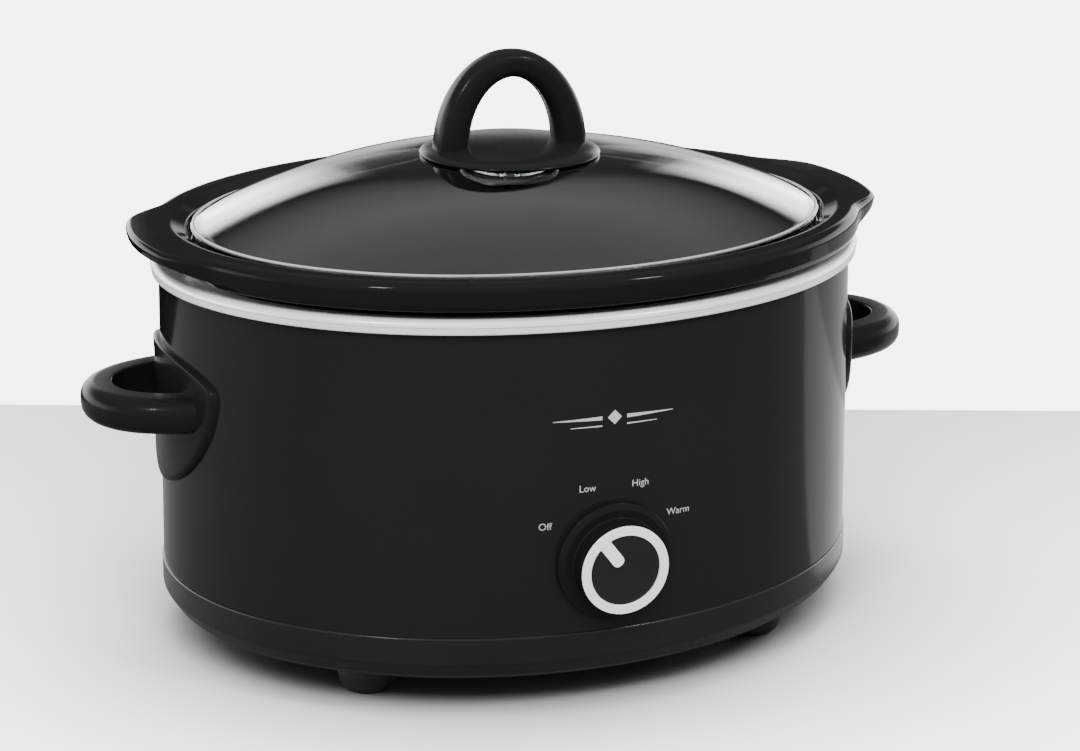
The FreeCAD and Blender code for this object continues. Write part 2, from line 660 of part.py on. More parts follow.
def lid_handle():
    boss_bottom = DIMPLE_FLOOR + GASKET
    disc = turned([
        (0, boss_bottom, 0), (BOSS_RADIUS, boss_bottom, 1), (BOSS_RADIUS, DISC_BOTTOM, 0),
        (DISC_RADIUS, DISC_BOTTOM, 1.2), (DISC_RADIUS, DISC_TOP, 1.6),
        (DISC_RADIUS - 12, DISC_TOP + DISC_CROWN, 20), (0, DISC_TOP + DISC_CROWN, 0),
    ])
    foot_z = DISC_TOP - 1
    top = DISC_TOP + LOOP_TOP + 2
    inner = LOOP_HALF_WIDTH - LOOP_LEG
    arch = outline([
        (-LOOP_HALF_WIDTH, foot_z, 0), (LOOP_LEAN - LOOP_HALF_WIDTH, top, LOOP_CORNER),
        (LOOP_HALF_WIDTH - LOOP_LEAN, top, LOOP_CORNER), (LOOP_HALF_WIDTH, foot_z, 0),
        (inner, foot_z, 0), (inner, top - LOOP_BAR, LOOP_CORNER - LOOP_BAR),
        (-inner, top - LOOP_BAR, LOOP_CORNER - LOOP_BAR), (-inner, foot_z, 0),
    ])
    arch.translate(V(0, -LOOP_DEPTH / 2, 0))
    loop = arch.extrude(V(0, LOOP_DEPTH, 0))
    loop = rounded(loop, LOOP_ROUND, lambda c: c.z > foot_z + 1)
    socket = rod(INSERT_RADIUS, INSERT_LENGTH, V(0, 0, boss_bottom))
    return disc.fuse(loop).removeSplitter().cut(socket)


def lid_handle_gasket():
    ring = rod(BOSS_RADIUS - 2, GASKET, V(0, 0, DIMPLE_FLOOR))
    return ring.cut(rod(LID_HOLE_RADIUS, 2 * GASKET, V(0, 0, DIMPLE_FLOOR - 0.5)))


def lid_handle_insert():
    start = DIMPLE_FLOOR + GASKET
    sleeve = rod(INSERT_RADIUS, INSERT_LENGTH, V(0, 0, start))
    return sleeve.cut(rod(LID_SCREW_RADIUS + 0.1, INSERT_LENGTH - 1, V(0, 0, start)))


def lid_handle_washer():
    under = DIMPLE_FLOOR - LID_GLASS - WASHER_THICKNESS
    ring = rod(2 * LID_SCREW_HEAD, WASHER_THICKNESS, V(0, 0, under))
    return ring.cut(rod(LID_SCREW_RADIUS + 0.3, 4, V(0, 0, under - 1)))


def lid_handle_screw():
    head_top = DIMPLE_FLOOR - LID_GLASS - WASHER_THICKNESS
    tip = DIMPLE_FLOOR + GASKET + INSERT_LENGTH - 2
    return turned([
        (0, head_top - 3, 0), (LID_SCREW_HEAD, head_top - 3, 1.8), (LID_SCREW_HEAD, head_top, 0),
        (LID_SCREW_RADIUS, head_top, 0), (LID_SCREW_RADIUS, tip, 0.5), (0, tip, 0),
    ])


# ---- side handles ------------------------------------------------------------

def grip_screw_places(shape):
    """Copies of a shape built along +X from the end arc's centre, at the four screws."""
    angle = math.degrees(math.asin(GRIP_SCREW_Y / END_RADIUS))
    copies = []
    for turn in (-angle, angle):
        copy = shape.copy()
        copy.rotate(V(), V(0, 0, 1), turn)
        copy.translate(V(END_X, 0, GRIP_Z))
        copies.append(copy)
        copies.append(mirrored(copy))
    return copies


def side_handle():
    """Right-hand grip: a loop that grows out of a shield-shaped back plate."""
    tip = HALF_LENGTH + shell_outset(GRIP_Z) + GRIP_REACH
    root = HALF_LENGTH - 30
    wide = GRIP_HALF_WIDTH
    thin = wide - GRIP_BAR
    plan = outline([
        (root, -wide, 0), (tip, -wide, GRIP_CORNER), (tip, wide, GRIP_CORNER), (root, wide, 0),
        (root, thin, 0), (tip - GRIP_BAR, thin, GRIP_CORNER - GRIP_BAR + 2),
        (tip - GRIP_BAR, -thin, GRIP_CORNER - GRIP_BAR + 2), (root, -thin, 0),
    ])
    plan.rotate(V(), V(1, 0, 0), -90)
    plan.translate(V(0, 0, GRIP_Z - GRIP_HEIGHT / 2))
    loop = rounded(plan.extrude(V(0, 0, GRIP_HEIGHT)), GRIP_ROUND, lambda c: c.x > root + 1)
    shoulder = GRIP_Z + PLATE_UP - PLATE_ARCH
    foot_z = GRIP_Z - PLATE_DOWN
    waist = PLATE_HALF_WIDTH - PLATE_TAPER
    waist_z = GRIP_Z - PLATE_TAPER
    foot_wide = PLATE_FOOT_HALF_WIDTH
    shield = outline([
        (-PLATE_HALF_WIDTH, shoulder, PLATE_CORNER), (0, GRIP_Z + PLATE_UP, 260),
        (PLATE_HALF_WIDTH, shoulder, PLATE_CORNER), (waist, waist_z, 2 * PLATE_FOOT_CORNER),
        (foot_wide, foot_z, PLATE_FOOT_CORNER), (-foot_wide, foot_z, PLATE_FOOT_CORNER),
        (-waist, waist_z, 2 * PLATE_FOOT_CORNER),
    ])
    shield.rotate(V(), V(0, 0, 1), 90)
    shield.translate(V(root - 20, 0, 0))
    low, high = foot_z - 5, GRIP_Z + PLATE_UP + 5
    skin = oval_band([
        (shell_outset(low), low, 0), (shell_outset(low) + PLATE_THICKNESS, low, 0),
        (shell_outset(high) + PLATE_THICKNESS, high, 0), (shell_outset(high), high, 0),
    ])
    plate = skin.common(shield.extrude(V(90, 0, 0)))
    grip = plate.fuse(loop.cut(shell_inside())).removeSplitter()
    bite = rod(GRIP_SCREW_RADIUS, GRIP_SCREW_BITE + 1, V(END_RADIUS - 1, 0, 0), V(1, 0, 0))
    for hole in grip_screw_places(bite):
        grip = grip.cut(hole)
    return grip


def grip_head_start():
    """Distance of a grip screw's washer from the end arc's centre."""
    return END_RADIUS + shell_outset(GRIP_Z + 5) - SHELL_WALL - TOUCH_GAP


def handle_washers():
    inner = grip_head_start() - WASHER_THICKNESS
    ring = rod(2 * GRIP_SCREW_RADIUS + 1.2, WASHER_THICKNESS, V(inner, 0, 0), V(1, 0, 0))
    ring = ring.cut(rod(GRIP_SCREW_RADIUS + 0.2, 5, V(inner - 2, 0, 0), V(1, 0, 0)))
    return Part.makeCompound(grip_screw_places(ring))


def handle_screws():
    inner = grip_head_start() - WASHER_THICKNESS
    tip = END_RADIUS + GRIP_SCREW_BITE - 1
    screw = turned([
        (0, inner - SCREW_HEAD_HEIGHT, 0), (2 * GRIP_SCREW_RADIUS, inner - SCREW_HEAD_HEIGHT, 0.9),
        (2 * GRIP_SCREW_RADIUS, inner, 0), (GRIP_SCREW_RADIUS - 0.1, inner, 0),
        (GRIP_SCREW_RADIUS - 0.1, tip, 0.5), (0, tip, 0),
    ])
    screw.rotate(V(), V(0, 1, 0), 90)
    return Part.makeCompound(grip_screw_places(screw))


# ---- knob and switch ------------------------------------------------------------

def pointer(width, bottom, top):
    """Bar from the face ring inwards, turned to the pointer's place."""
    reach = KNOB_RADIUS - FACE_RING_WIDTH / 2 - POINTER_START
    bar = Part.makeBox(reach, width, top - bottom, V(POINTER_START, -width / 2, bottom))
    bar.rotate(V(), V(0, 0, 1), POINTER_ANGLE)
    return bar


def knob_body():
    recess = KNOB_BACK + 3.2
    inside = KNOB_RADIUS - FACE_RING_WIDTH - TOUCH_GAP
    face = KNOB_FRONT - FACE_RING_PROUD
    body = turned([
        (BUSH_RADIUS + 8, KNOB_BACK, 0), (SKIRT_RADIUS, KNOB_BACK, 0.6),
        (SKIRT_RADIUS, KNOB_BACK + SKIRT_THICKNESS - 0.8, 0.3),
        (SKIRT_RADIUS - 2.4, KNOB_BACK + SKIRT_THICKNESS, 0.8),
        (KNOB_RADIUS, KNOB_BACK + SKIRT_THICKNESS, 0.8), (KNOB_RADIUS, KNOB_FACE, 0.3),
        (inside, KNOB_FACE, 0), (inside, face, 0.2), (0, face, 0), (0, recess, 0),
        (BUSH_RADIUS + 8, recess, 0),
    ])
    hollow = turned([
        (KNOB_HUB_RADIUS, recess - 1, 0), (BUSH_RADIUS + 8, recess - 1, 0),
        (BUSH_RADIUS + 8, recess + 4, 1), (KNOB_HUB_RADIUS, recess + 4, 1),
    ])
    body = body.cut([hollow, shaft_tip(SHAFT_RADIUS), pointer(POINTER_WIDTH + 0.1, KNOB_FACE, KNOB_FRONT)])
    return to_front(body, KNOB_Z)


def shaft_tip(radius):
    """D-shaped outer end of the shaft, which the knob's hub fits."""
    start = BUSH_END + 0.8
    end = KNOB_FACE - 2.5
    flat = block(0, radius, start - 1, 4 * radius, radius * 0.8, end - start + 2)
    return rod(radius, end - start, V(0, 0, start)).cut(flat)


def knob_trim():
    ring = rod(KNOB_RADIUS - 0.1, FACE_RING_THICKNESS, V(0, 0, KNOB_FACE))
    ring = ring.cut(rod(KNOB_RADIUS - FACE_RING_WIDTH, 4, V(0, 0, KNOB_FACE - 1)))
    ring = ring.fuse(pointer(POINTER_WIDTH, KNOB_FACE, KNOB_FRONT)).removeSplitter()
    return to_front(ring, KNOB_Z)


def switch_rotor():
    """Contact drum with the shaft that carries the knob."""
    back = SWITCH_BACK + SWITCH_COVER + 0.8
    front = SWITCH_FRONT - SWITCH_WALL - 0.8
    radius = SWITCH_SIZE / 2 - SWITCH_WALL - 1
    drum = rod(radius, front - back, V(0, 0, back))
    drum = drum.cut(block(0, radius, back - 1, 5, 4, front - back + 2))
    stem = rod(SHAFT_RADIUS, BUSH_END + 0.8 - front, V(0, 0, front))
    return to_front(drum.fuse([stem, shaft_tip(SHAFT_RADIUS)]).removeSplitter(), KNOB_Z)


def blade_places():
    return [-BLADE_PITCH, 0, BLADE_PITCH]


def switch_case():
    inner = SWITCH_SIZE - 2 * SWITCH_WALL
    start = SWITCH_BACK + SWITCH_COVER
    case = block(0, 0, start, SWITCH_SIZE, SWITCH_SIZE, SWITCH_FRONT - start)
    case = rounded(case, 1.5, lambda c: c.z > SWITCH_FRONT - 1e-3)
    case = case.cut(block(0, 0, start, inner, inner, SWITCH_FRONT - start - SWITCH_WALL))
    case = case.fuse(rod(BUSH_RADIUS, BUSH_END - SWITCH_FRONT, V(0, 0, SWITCH_FRONT)))
    case = case.cut(rod(SHAFT_RADIUS + SHAFT_CLEARANCE, SWITCH_DEPTH + 40, V(0, 0, start)))
    case = to_front(case, KNOB_Z)
    return case.cut(blades())


def switch_cover():
    return to_front(block(0, 0, SWITCH_BACK, SWITCH_SIZE, SWITCH_SIZE, SWITCH_COVER), KNOB_Z)


def blades():
    top = KNOB_Z - SWITCH_SIZE / 2 + SWITCH_WALL
    length = SWITCH_WALL + BLADE_LENGTH
    return [block(x, -BLADE_Y, top - length, BLADE_WIDTH, BLADE_THICKNESS, length) for x in blade_places()]


def spade_connectors():
    top = KNOB_Z - SWITCH_SIZE / 2 - 0.5
    sleeves = []
    for x in blade_places():
        sleeve = block(x, -BLADE_Y, top - CONNECTOR_LENGTH, BLADE_WIDTH + 1.4, 3, CONNECTOR_LENGTH)
        slot = block(x, -BLADE_Y, top - BLADE_LENGTH + 0.5, BLADE_WIDTH + 0.1, BLADE_THICKNESS + 0.1, BLADE_LENGTH)
        sleeves.append(sleeve.cut(slot))
    return Part.makeCompound(sleeves)


def switch_nut():
    corners = 6
    across = NUT_FLATS / 2 / math.cos(math.pi / corners)
    points = []
    for k in range(corners):
        turn = 2 * math.pi * k / corners
        points.append((across * math.cos(turn), across * math.sin(turn), 0))
    face = outline(points)
    face.rotate(V(), V(1, 0, 0), -90)
    face.translate(V(0, 0, NUT_BACK))
    nut = face.extrude(V(0, 0, NUT_THICKNESS))
    nut = nut.cut(rod(BUSH_RADIUS, 10, V(0, 0, NUT_BACK - 2)))
    return to_front(nut, KNOB_Z)


# ---- leads ------------------------------------------------------------------------

def connector_end(index):
    """Where a lead leaves the switch's connector."""
    z = KNOB_Z - SWITCH_SIZE / 2 - 0.5 - CONNECTOR_LENGTH
    return (blade_places()[index], -BLADE_Y, z)


def heater_lead(index, tab):
    """From a switch connector down, round and up to a tab of the band."""
    x, y, z = connector_end(index)
    tab_x, tab_y = tab_places()[tab]
    turn = z - 13
    half = (tab_x - x) / 2
    return tube([
        (x, y, z), (x, y, turn), (x + half, (y + tab_y) / 2, turn - 0.6 * abs(half)),
        (tab_x, tab_y, turn), (tab_x, tab_y, BAND_BOTTOM - TAB_LENGTH),
    ], LEAD_RADIUS)


def fuse_to_switch():
    x, y, z = connector_end(1)
    level = TRAY_FLOOR_TOP + 8
    fuse_z = LINER_UNDER - FUSE_RADIUS - TOUCH_GAP
    end = FUSE_LENGTH / 2
    return tube([
        (x, y, z), (x, y, level + 8), (x + 6, y + 10, level), (end + 14, -60, level),
        (end + 24, FUSE_Y - 32, level + 5), (end + 14, FUSE_Y, fuse_z), (end, FUSE_Y, fuse_z),
    ], LEAD_RADIUS)


def crimp_start():
    return HALF_DEPTH + UPSTAND_INNER - 22


def supply_to_fuse():
    fuse_z = LINER_UNDER - FUSE_RADIUS - TOUCH_GAP
    end = -FUSE_LENGTH / 2
    return tube([
        (-CRIMP_X, crimp_start() - CRIMP_LENGTH, BUSHING_Z), (-CRIMP_X, 75, BUSHING_Z),
        (end - 22, 52, BUSHING_Z + 6), (end - 16, FUSE_Y, fuse_z), (end, FUSE_Y, fuse_z),
    ], LEAD_RADIUS)


def neutral_lead():
    """From the crimp cap at the back, along the tray, up to the band's last tab."""
    tab_x, tab_y = tab_places()[2]
    level = TRAY_FLOOR_TOP + 6
    return tube([
        (CRIMP_X, crimp_start() - CRIMP_LENGTH, BUSHING_Z), (CRIMP_X, 70, BUSHING_Z),
        (44, 30, level), (50, -20, level), (44, -75, level), (tab_x + 4, tab_y + 6, level + 4),
        (tab_x, tab_y, SHELL_BOTTOM + 14), (tab_x, tab_y, BAND_BOTTOM - TAB_LENGTH),
    ], LEAD_RADIUS)


def crimp_caps():
    caps = []
    for x in (-CRIMP_X, CRIMP_X):
        caps.append(rod(CRIMP_RADIUS, CRIMP_LENGTH, V(x, crimp_start(), BUSHING_Z), V(0, -1, 0)))
    return Part.makeCompound(caps)


def all_nodes():
    right_grip = side_handle()
    right_bracket = tie_bracket()
    nodes = {
        "lid_glass": lid_glass(), "lid_handle": lid_handle(), "lid_handle_gasket": lid_handle_gasket(),
        "lid_handle_insert": lid_handle_insert(), "lid_handle_washer": lid_handle_washer(),
        "lid_handle_screw": lid_handle_screw(), "crock": crock(), "outer_shell": outer_shell(),
        "trim_ring": trim_ring(), "heating_liner": heating_liner(), "heater_band": heater_band(),
        "band_screw": band_screw(), "heater_tabs": heater_tabs(), "thermal_fuse": thermal_fuse(),
        "fuse_clip": fuse_clip(), "base_tray": base_tray(), "base_screws": base_screws(),
        "tie_bracket_right": right_bracket, "tie_bracket_left": mirrored(right_bracket),
        "cord_bushing": cord_bushing(), "crimp_caps": crimp_caps(),
        "side_handle_right": right_grip, "side_handle_left": mirrored(right_grip),
        "handle_washers": handle_washers(), "handle_screws": handle_screws(),
        "knob_body": knob_body(), "knob_trim": knob_trim(), "switch_rotor": switch_rotor(),
        "switch_case": switch_case(), "switch_cover": switch_cover(), "switch_nut": switch_nut(),
        "switch_terminals": Part.makeCompound(blades()), "spade_connectors": spade_connectors(),
        "lead_low_heat": heater_lead(0, 0), "lead_high_heat": heater_lead(2, 1),
        "lead_fuse_to_switch": fuse_to_switch(), "lead_supply_to_fuse": supply_to_fuse(),
        "lead_neutral": neutral_lead(),
    }
    for name, (x, y) in foot_places().items():
        nodes[name] = foot(x, y)
    return nodes


def main():
    os.makedirs("parts", exist_ok=True)
    for name, shape in all_nodes().items():
        shape = shape.copy()
        shape.translate(V(0, -CENTRE_Y, 0))
        shape.exportStep("parts/" + name + ".step")
        box = shape.BoundBox
        print(name, len(shape.Solids), shape.isValid(), round(shape.Volume),
              [round(v, 1) for v in (box.XMin, box.YMin, box.ZMin, box.XMax, box.YMax, box.ZMax)])
    print("oval centre y", round(-CENTRE_Y, 3), "knob z", KNOB_Z)


main()
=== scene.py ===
import math

import bpy
from mathutils import Matrix, Vector


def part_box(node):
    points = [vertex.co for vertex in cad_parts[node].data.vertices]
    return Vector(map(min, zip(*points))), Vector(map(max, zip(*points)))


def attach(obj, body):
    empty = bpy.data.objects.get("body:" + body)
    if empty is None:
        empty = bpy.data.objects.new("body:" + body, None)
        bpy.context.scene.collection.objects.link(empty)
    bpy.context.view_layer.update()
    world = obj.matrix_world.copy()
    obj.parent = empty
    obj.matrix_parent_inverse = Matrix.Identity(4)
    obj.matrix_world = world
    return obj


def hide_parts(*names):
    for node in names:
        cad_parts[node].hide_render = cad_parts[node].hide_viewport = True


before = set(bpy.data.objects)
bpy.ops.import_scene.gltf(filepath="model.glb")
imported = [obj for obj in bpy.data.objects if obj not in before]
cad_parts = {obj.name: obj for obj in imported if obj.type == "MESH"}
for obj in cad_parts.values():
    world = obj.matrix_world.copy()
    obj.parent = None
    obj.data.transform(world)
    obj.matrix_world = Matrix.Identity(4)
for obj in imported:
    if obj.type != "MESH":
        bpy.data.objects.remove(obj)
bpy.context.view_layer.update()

MM = 0.001

# ---- sizes read from the frame ------------------------------------------------

shell_low, shell_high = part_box("outer_shell")
ring_low, ring_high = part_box("trim_ring")
tray_low, tray_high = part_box("base_tray")
crock_low, crock_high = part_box("crock")
glass_low, glass_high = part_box("lid_glass")
handle_low, handle_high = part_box("lid_handle")
knob_low, knob_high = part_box("knob_body")
trim_low, trim_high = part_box("knob_trim")
grip_low, grip_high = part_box("side_handle_right")
bushing_low, bushing_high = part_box("cord_bushing")

FLARE = 0.02
RING_Z = ring_low.z
SHELL_Z = shell_low.z
MIDDLE_Y = (shell_low.y + shell_high.y) / 2
HALF_LENGTH = shell_high.x - FLARE * (RING_Z - SHELL_Z)
HALF_DEPTH = (shell_high.y - shell_low.y) / 2 - FLARE * (RING_Z - SHELL_Z)
KNOB_Z = (knob_low.z + knob_high.z) / 2
GRIP_Z = 127.9 * MM

POINTER_ANGLE = 127
KNOB_RADIUS = 21 * MM

SIDES = 288
BAR_STEPS = 48
QUARTER_CIRCLE = 0.5523


def shell_out(z):
    """How far the shell's outer face stands outside the plan oval at height z."""
    return (RING_Z - z) * FLARE


def wall_y(x, z, out=0.0):
    """Y of the shell's front face at x and z, moved out by a distance."""
    half_x = HALF_LENGTH + shell_out(z) + out
    half_y = HALF_DEPTH + shell_out(z) + out
    return MIDDLE_Y - half_y * math.sqrt(max(0.0, 1 - (x / half_x) ** 2))


def wall_x(y, z, out=0.0):
    """X of the shell's right-hand end at y (from the middle) and z."""
    half_x = HALF_LENGTH + shell_out(z) + out
    half_y = HALF_DEPTH + shell_out(z) + out
    return half_x * math.sqrt(max(0.0, 1 - (y / half_y) ** 2))


# ---- node groups ----------------------------------------------------------------

def link(tree, start, end):
    tree.links.new(start, end)


def new_group(name, inputs, outputs):
    """Shader group with float inputs {name: default} and (name, type) outputs."""
    group = bpy.data.node_groups.new(name, "ShaderNodeTree")
    for label, default in inputs.items():
        socket = group.interface.new_socket(label, in_out="INPUT", socket_type="NodeSocketFloat")
        socket.default_value = default
    for label, kind in outputs:
        group.interface.new_socket(label, in_out="OUTPUT", socket_type=kind)
    return group, group.nodes.new("NodeGroupInput"), group.nodes.new("NodeGroupOutput")


def maths(tree, operation, first, second):
    """Math node fed by two sockets, or by a socket and a number."""
    node = tree.nodes.new("ShaderNodeMath")
    node.operation = operation
    link(tree, first, node.inputs[0])
    if isinstance(second, float):
        node.inputs[1].default_value = second
    else:
        link(tree, second, node.inputs[1])
    return node.outputs["Value"]


def blended(tree, factor, start, end):
    """Mix of two numbers or sockets by a factor socket."""
    node = tree.nodes.new("ShaderNodeMix")
    node.data_type = "FLOAT"
    link(tree, factor, node.inputs["Factor"])
    for label, value in (("A", start), ("B", end)):
        if isinstance(value, float):
            node.inputs[label].default_value = value
        else:
            link(tree, value, node.inputs[label])
    return node.outputs["Result"]


def scale_between(tree, value, start, end, low, high):
    """Maps a socket from one span of numbers to another."""
    node = tree.nodes.new("ShaderNodeMapRange")
    node.inputs["From Min"].default_value = start
    node.inputs["From Max"].default_value = end
    node.inputs["To Min"].default_value = low
    node.inputs["To Max"].default_value = high
    link(tree, value, node.inputs["Value"])
    return node.outputs["Result"]


def noise(tree, coords, scale, detail, roughness=0.5):
    node = tree.nodes.new("ShaderNodeTexNoise")
    node.inputs["Scale"].default_value = scale
    node.inputs["Detail"].default_value = detail
    node.inputs["Roughness"].default_value = roughness
    link(tree, coords, node.inputs["Vector"])
    return node


def build_polish():
    """Uneven polish: cloudy handling marks and fine dust that change the roughness."""
    group, given, result = new_group(
        "handling_marks", {"Scale": 18.0, "Clean": 0.1, "Marked": 0.25, "Dust": 0.1},
        [("Roughness", "NodeSocketFloat")])
    coords = group.nodes.new("ShaderNodeTexCoord").outputs["Object"]
    clouds = noise(group, coords, 1.0, 5.0, 0.6)
    link(group, given.outputs["Scale"], clouds.inputs["Scale"])
    spread = group.nodes.new("ShaderNodeMapRange")
    spread.inputs["From Min"].default_value = 0.38
    spread.inputs["From Max"].default_value = 0.72
    link(group, clouds.outputs["Fac"], spread.inputs["Value"])
    link(group, given.outputs["Clean"], spread.inputs["To Min"])
    link(group, given.outputs["Marked"], spread.inputs["To Max"])
    specks = group.nodes.new("ShaderNodeTexVoronoi")
    specks.inputs["Scale"].default_value = 420.0
    link(group, coords, specks.inputs["Vector"])
    small = scale_between(group, specks.outputs["Distance"], 0.12, 0.02, 0.0, 1.0)
    amount = maths(group, "MULTIPLY", small, given.outputs["Dust"])
    link(group, maths(group, "ADD", spread.outputs["Result"], amount), result.inputs["Roughness"])
    return group


def build_relief():
    """Height of a finish: long soft waves plus a fine grain."""
    group, given, result = new_group(
        "surface_relief", {"Wave scale": 12.0, "Wave": 0.5, "Grain scale": 600.0, "Grain": 0.5},
        [("Height", "NodeSocketFloat")])
    coords = group.nodes.new("ShaderNodeTexCoord").outputs["Object"]
    parts = []
    for scale, amount, detail in (("Wave scale", "Wave", 1.0), ("Grain scale", "Grain", 3.0)):
        texture = noise(group, coords, 1.0, detail)
        link(group, given.outputs[scale], texture.inputs["Scale"])
        parts.append(maths(group, "MULTIPLY", texture.outputs["Fac"], given.outputs[amount]))
    link(group, maths(group, "ADD", *parts), result.inputs["Height"])
    return group


def build_tone():
    """Slight unevenness of a colour between two given tones."""
    group, given, result = new_group("tone_drift", {"Scale": 25.0, "Contrast": 1.0},
                                     [("Color", "NodeSocketColor")])
    for label in ("Light", "Dark"):
        group.interface.new_socket(label, in_out="INPUT", socket_type="NodeSocketColor")
    coords = group.nodes.new("ShaderNodeTexCoord").outputs["Object"]
    patches = noise(group, coords, 1.0, 4.0)
    link(group, given.outputs["Scale"], patches.inputs["Scale"])
    strength = group.nodes.new("ShaderNodeMath")
    strength.operation = "MULTIPLY"
    strength.use_clamp = True
    link(group, patches.outputs["Fac"], strength.inputs[0])
    link(group, given.outputs["Contrast"], strength.inputs[1])
    blend = group.nodes.new("ShaderNodeMix")
    blend.data_type = "RGBA"
    link(group, strength.outputs["Value"], blend.inputs["Factor"])
    link(group, given.outputs["Dark"], blend.inputs["A"])
    link(group, given.outputs["Light"], blend.inputs["B"])
    link(group, blend.outputs["Result"], result.inputs["Color"])
    return group


POLISH = build_polish()
RELIEF = build_relief()
TONE = build_tone()


def use_group(tree, group, values):
    node = tree.nodes.new("ShaderNodeGroup")
    node.node_tree = group
    for label, value in values.items():
        node.inputs[label].default_value = value
    return node


def add_relief(tree, shader, relief, depth):
    """Gives a shader fine waves and grain as a bump."""
    height = use_group(tree, RELIEF, relief)
    bump = tree.nodes.new("ShaderNodeBump")
    bump.inputs["Strength"].default_value = 1.0
    bump.inputs["Distance"].default_value = depth
    link(tree, height.outputs["Height"], bump.inputs["Height"])
    link(tree, bump.outputs["Normal"], shader.inputs["Normal"])


def finish_material(name, dark, light, polish, relief, depth, tone_scale=25.0, **sockets):
    """Opaque finish: two close tones, uneven polish and a relief of a given depth."""
    material = bpy.data.materials.new(name)
    material.use_nodes = True
    tree = material.node_tree
    shader = tree.nodes["Principled BSDF"]
    for label, value in sockets.items():
        shader.inputs[label.replace("_", " ")].default_value = value
    tone = use_group(tree, TONE, {"Scale": tone_scale, "Dark": (*dark, 1), "Light": (*light, 1)})
    link(tree, tone.outputs["Color"], shader.inputs["Base Color"])
    marks = use_group(tree, POLISH, polish)
    link(tree, marks.outputs["Roughness"], shader.inputs["Roughness"])
    add_relief(tree, shader, relief, depth)
    return material


def glass_material():
    """Clear lid glass with a faint green body and traces of wiping."""
    material = bpy.data.materials.new("lid_glass_clear")
    material.use_nodes = True
    tree = material.node_tree
    shader = tree.nodes["Principled BSDF"]
    shader.inputs["Base Color"].default_value = (0.93, 0.96, 0.95, 1)
    shader.inputs["Transmission Weight"].default_value = 1.0
    shader.inputs["IOR"].default_value = 1.5
    shader.inputs["Coat Weight"].default_value = 0.6
    marks = use_group(tree, POLISH, {"Scale": 14.0, "Clean": 0.0, "Marked": 0.035, "Dust": 0.04})
    link(tree, marks.outputs["Roughness"], shader.inputs["Roughness"])
    relief = {"Wave scale": 9.0, "Wave": 1.0, "Grain scale": 300.0, "Grain": 0.0}
    add_relief(tree, shader, relief, 0.00015)
    return material


SHELL_PAINT = finish_material(
    "shell_enamel", (0.0082, 0.0088, 0.0081), (0.0098, 0.0105, 0.0097),
    {"Scale": 7.0, "Clean": 0.1, "Marked": 0.15, "Dust": 0.12},
    {"Wave scale": 60.0, "Wave": 0.4, "Grain scale": 900.0, "Grain": 0.06}, 0.00003,
    Coat_Weight=0.08, Coat_Roughness=0.03, Specular_IOR_Level=0.12)
GLAZE = finish_material(
    "stoneware_glaze", (0.0052, 0.0059, 0.0054), (0.0072, 0.008, 0.0075),
    {"Scale": 16.0, "Clean": 0.05, "Marked": 0.11, "Dust": 0.1},
    {"Wave scale": 38.0, "Wave": 1.0, "Grain scale": 420.0, "Grain": 0.1}, 0.00012,
    Coat_Weight=0.04, Coat_Roughness=0.03, Specular_IOR_Level=0.06)
PHENOLIC = finish_material(
    "handle_phenolic", (0.0055, 0.006, 0.0056), (0.0078, 0.0085, 0.0079),
    {"Scale": 30.0, "Clean": 0.2, "Marked": 0.32, "Dust": 0.15},
    {"Wave scale": 90.0, "Wave": 0.5, "Grain scale": 1400.0, "Grain": 0.25}, 0.00004,
    Coat_Weight=0.05, Coat_Roughness=0.05, Specular_IOR_Level=0.06)
TRAY_PLASTIC = finish_material(
    "tray_plastic", (0.0058, 0.007, 0.0067), (0.0075, 0.009, 0.0086),
    {"Scale": 22.0, "Clean": 0.2, "Marked": 0.3, "Dust": 0.2},
    {"Wave scale": 50.0, "Wave": 0.4, "Grain scale": 1100.0, "Grain": 0.4}, 0.00005,
    Coat_Weight=0.15, Coat_Roughness=0.12, Specular_IOR_Level=0.3)
SATIN_SILVER = finish_material(
    "trim_satin_silver", (0.82, 0.83, 0.82), (0.9, 0.91, 0.9),
    {"Scale": 30.0, "Clean": 0.26, "Marked": 0.38, "Dust": 0.15},
    {"Wave scale": 40.0, "Wave": 0.5, "Grain scale": 1600.0, "Grain": 0.5}, 0.00003,
    Metallic=0.3)
KNOB_SILVER = finish_material(
    "knob_foil_silver", (0.88, 0.88, 0.87), (0.94, 0.94, 0.93),
    {"Scale": 60.0, "Clean": 0.4, "Marked": 0.5, "Dust": 0.25},
    {"Wave scale": 60.0, "Wave": 0.3, "Grain scale": 1800.0, "Grain": 0.8}, 0.00003,
    Metallic=0.1)
KNOB_PLASTIC = finish_material(
    "knob_satin_plastic", (0.0052, 0.0049, 0.0046), (0.0075, 0.0072, 0.0067),
    {"Scale": 60.0, "Clean": 0.32, "Marked": 0.42, "Dust": 0.2},
    {"Wave scale": 90.0, "Wave": 0.3, "Grain scale": 1500.0, "Grain": 1.0}, 0.00005)
FOOT_RUBBER = finish_material(
    "foot_rubber_black", (0.006, 0.0065, 0.0062), (0.011, 0.0115, 0.011),
    {"Scale": 60.0, "Clean": 0.55, "Marked": 0.75, "Dust": 0.3},
    {"Wave scale": 90.0, "Wave": 0.4, "Grain scale": 1500.0, "Grain": 1.0}, 0.00012)
PRINT_WHITE = finish_material(
    "label_print", (0.36, 0.37, 0.36), (0.46, 0.47, 0.46),
    {"Scale": 200.0, "Clean": 0.45, "Marked": 0.6, "Dust": 0.1},
    {"Wave scale": 300.0, "Wave": 0.5, "Grain scale": 3000.0, "Grain": 0.5}, 0.00001)
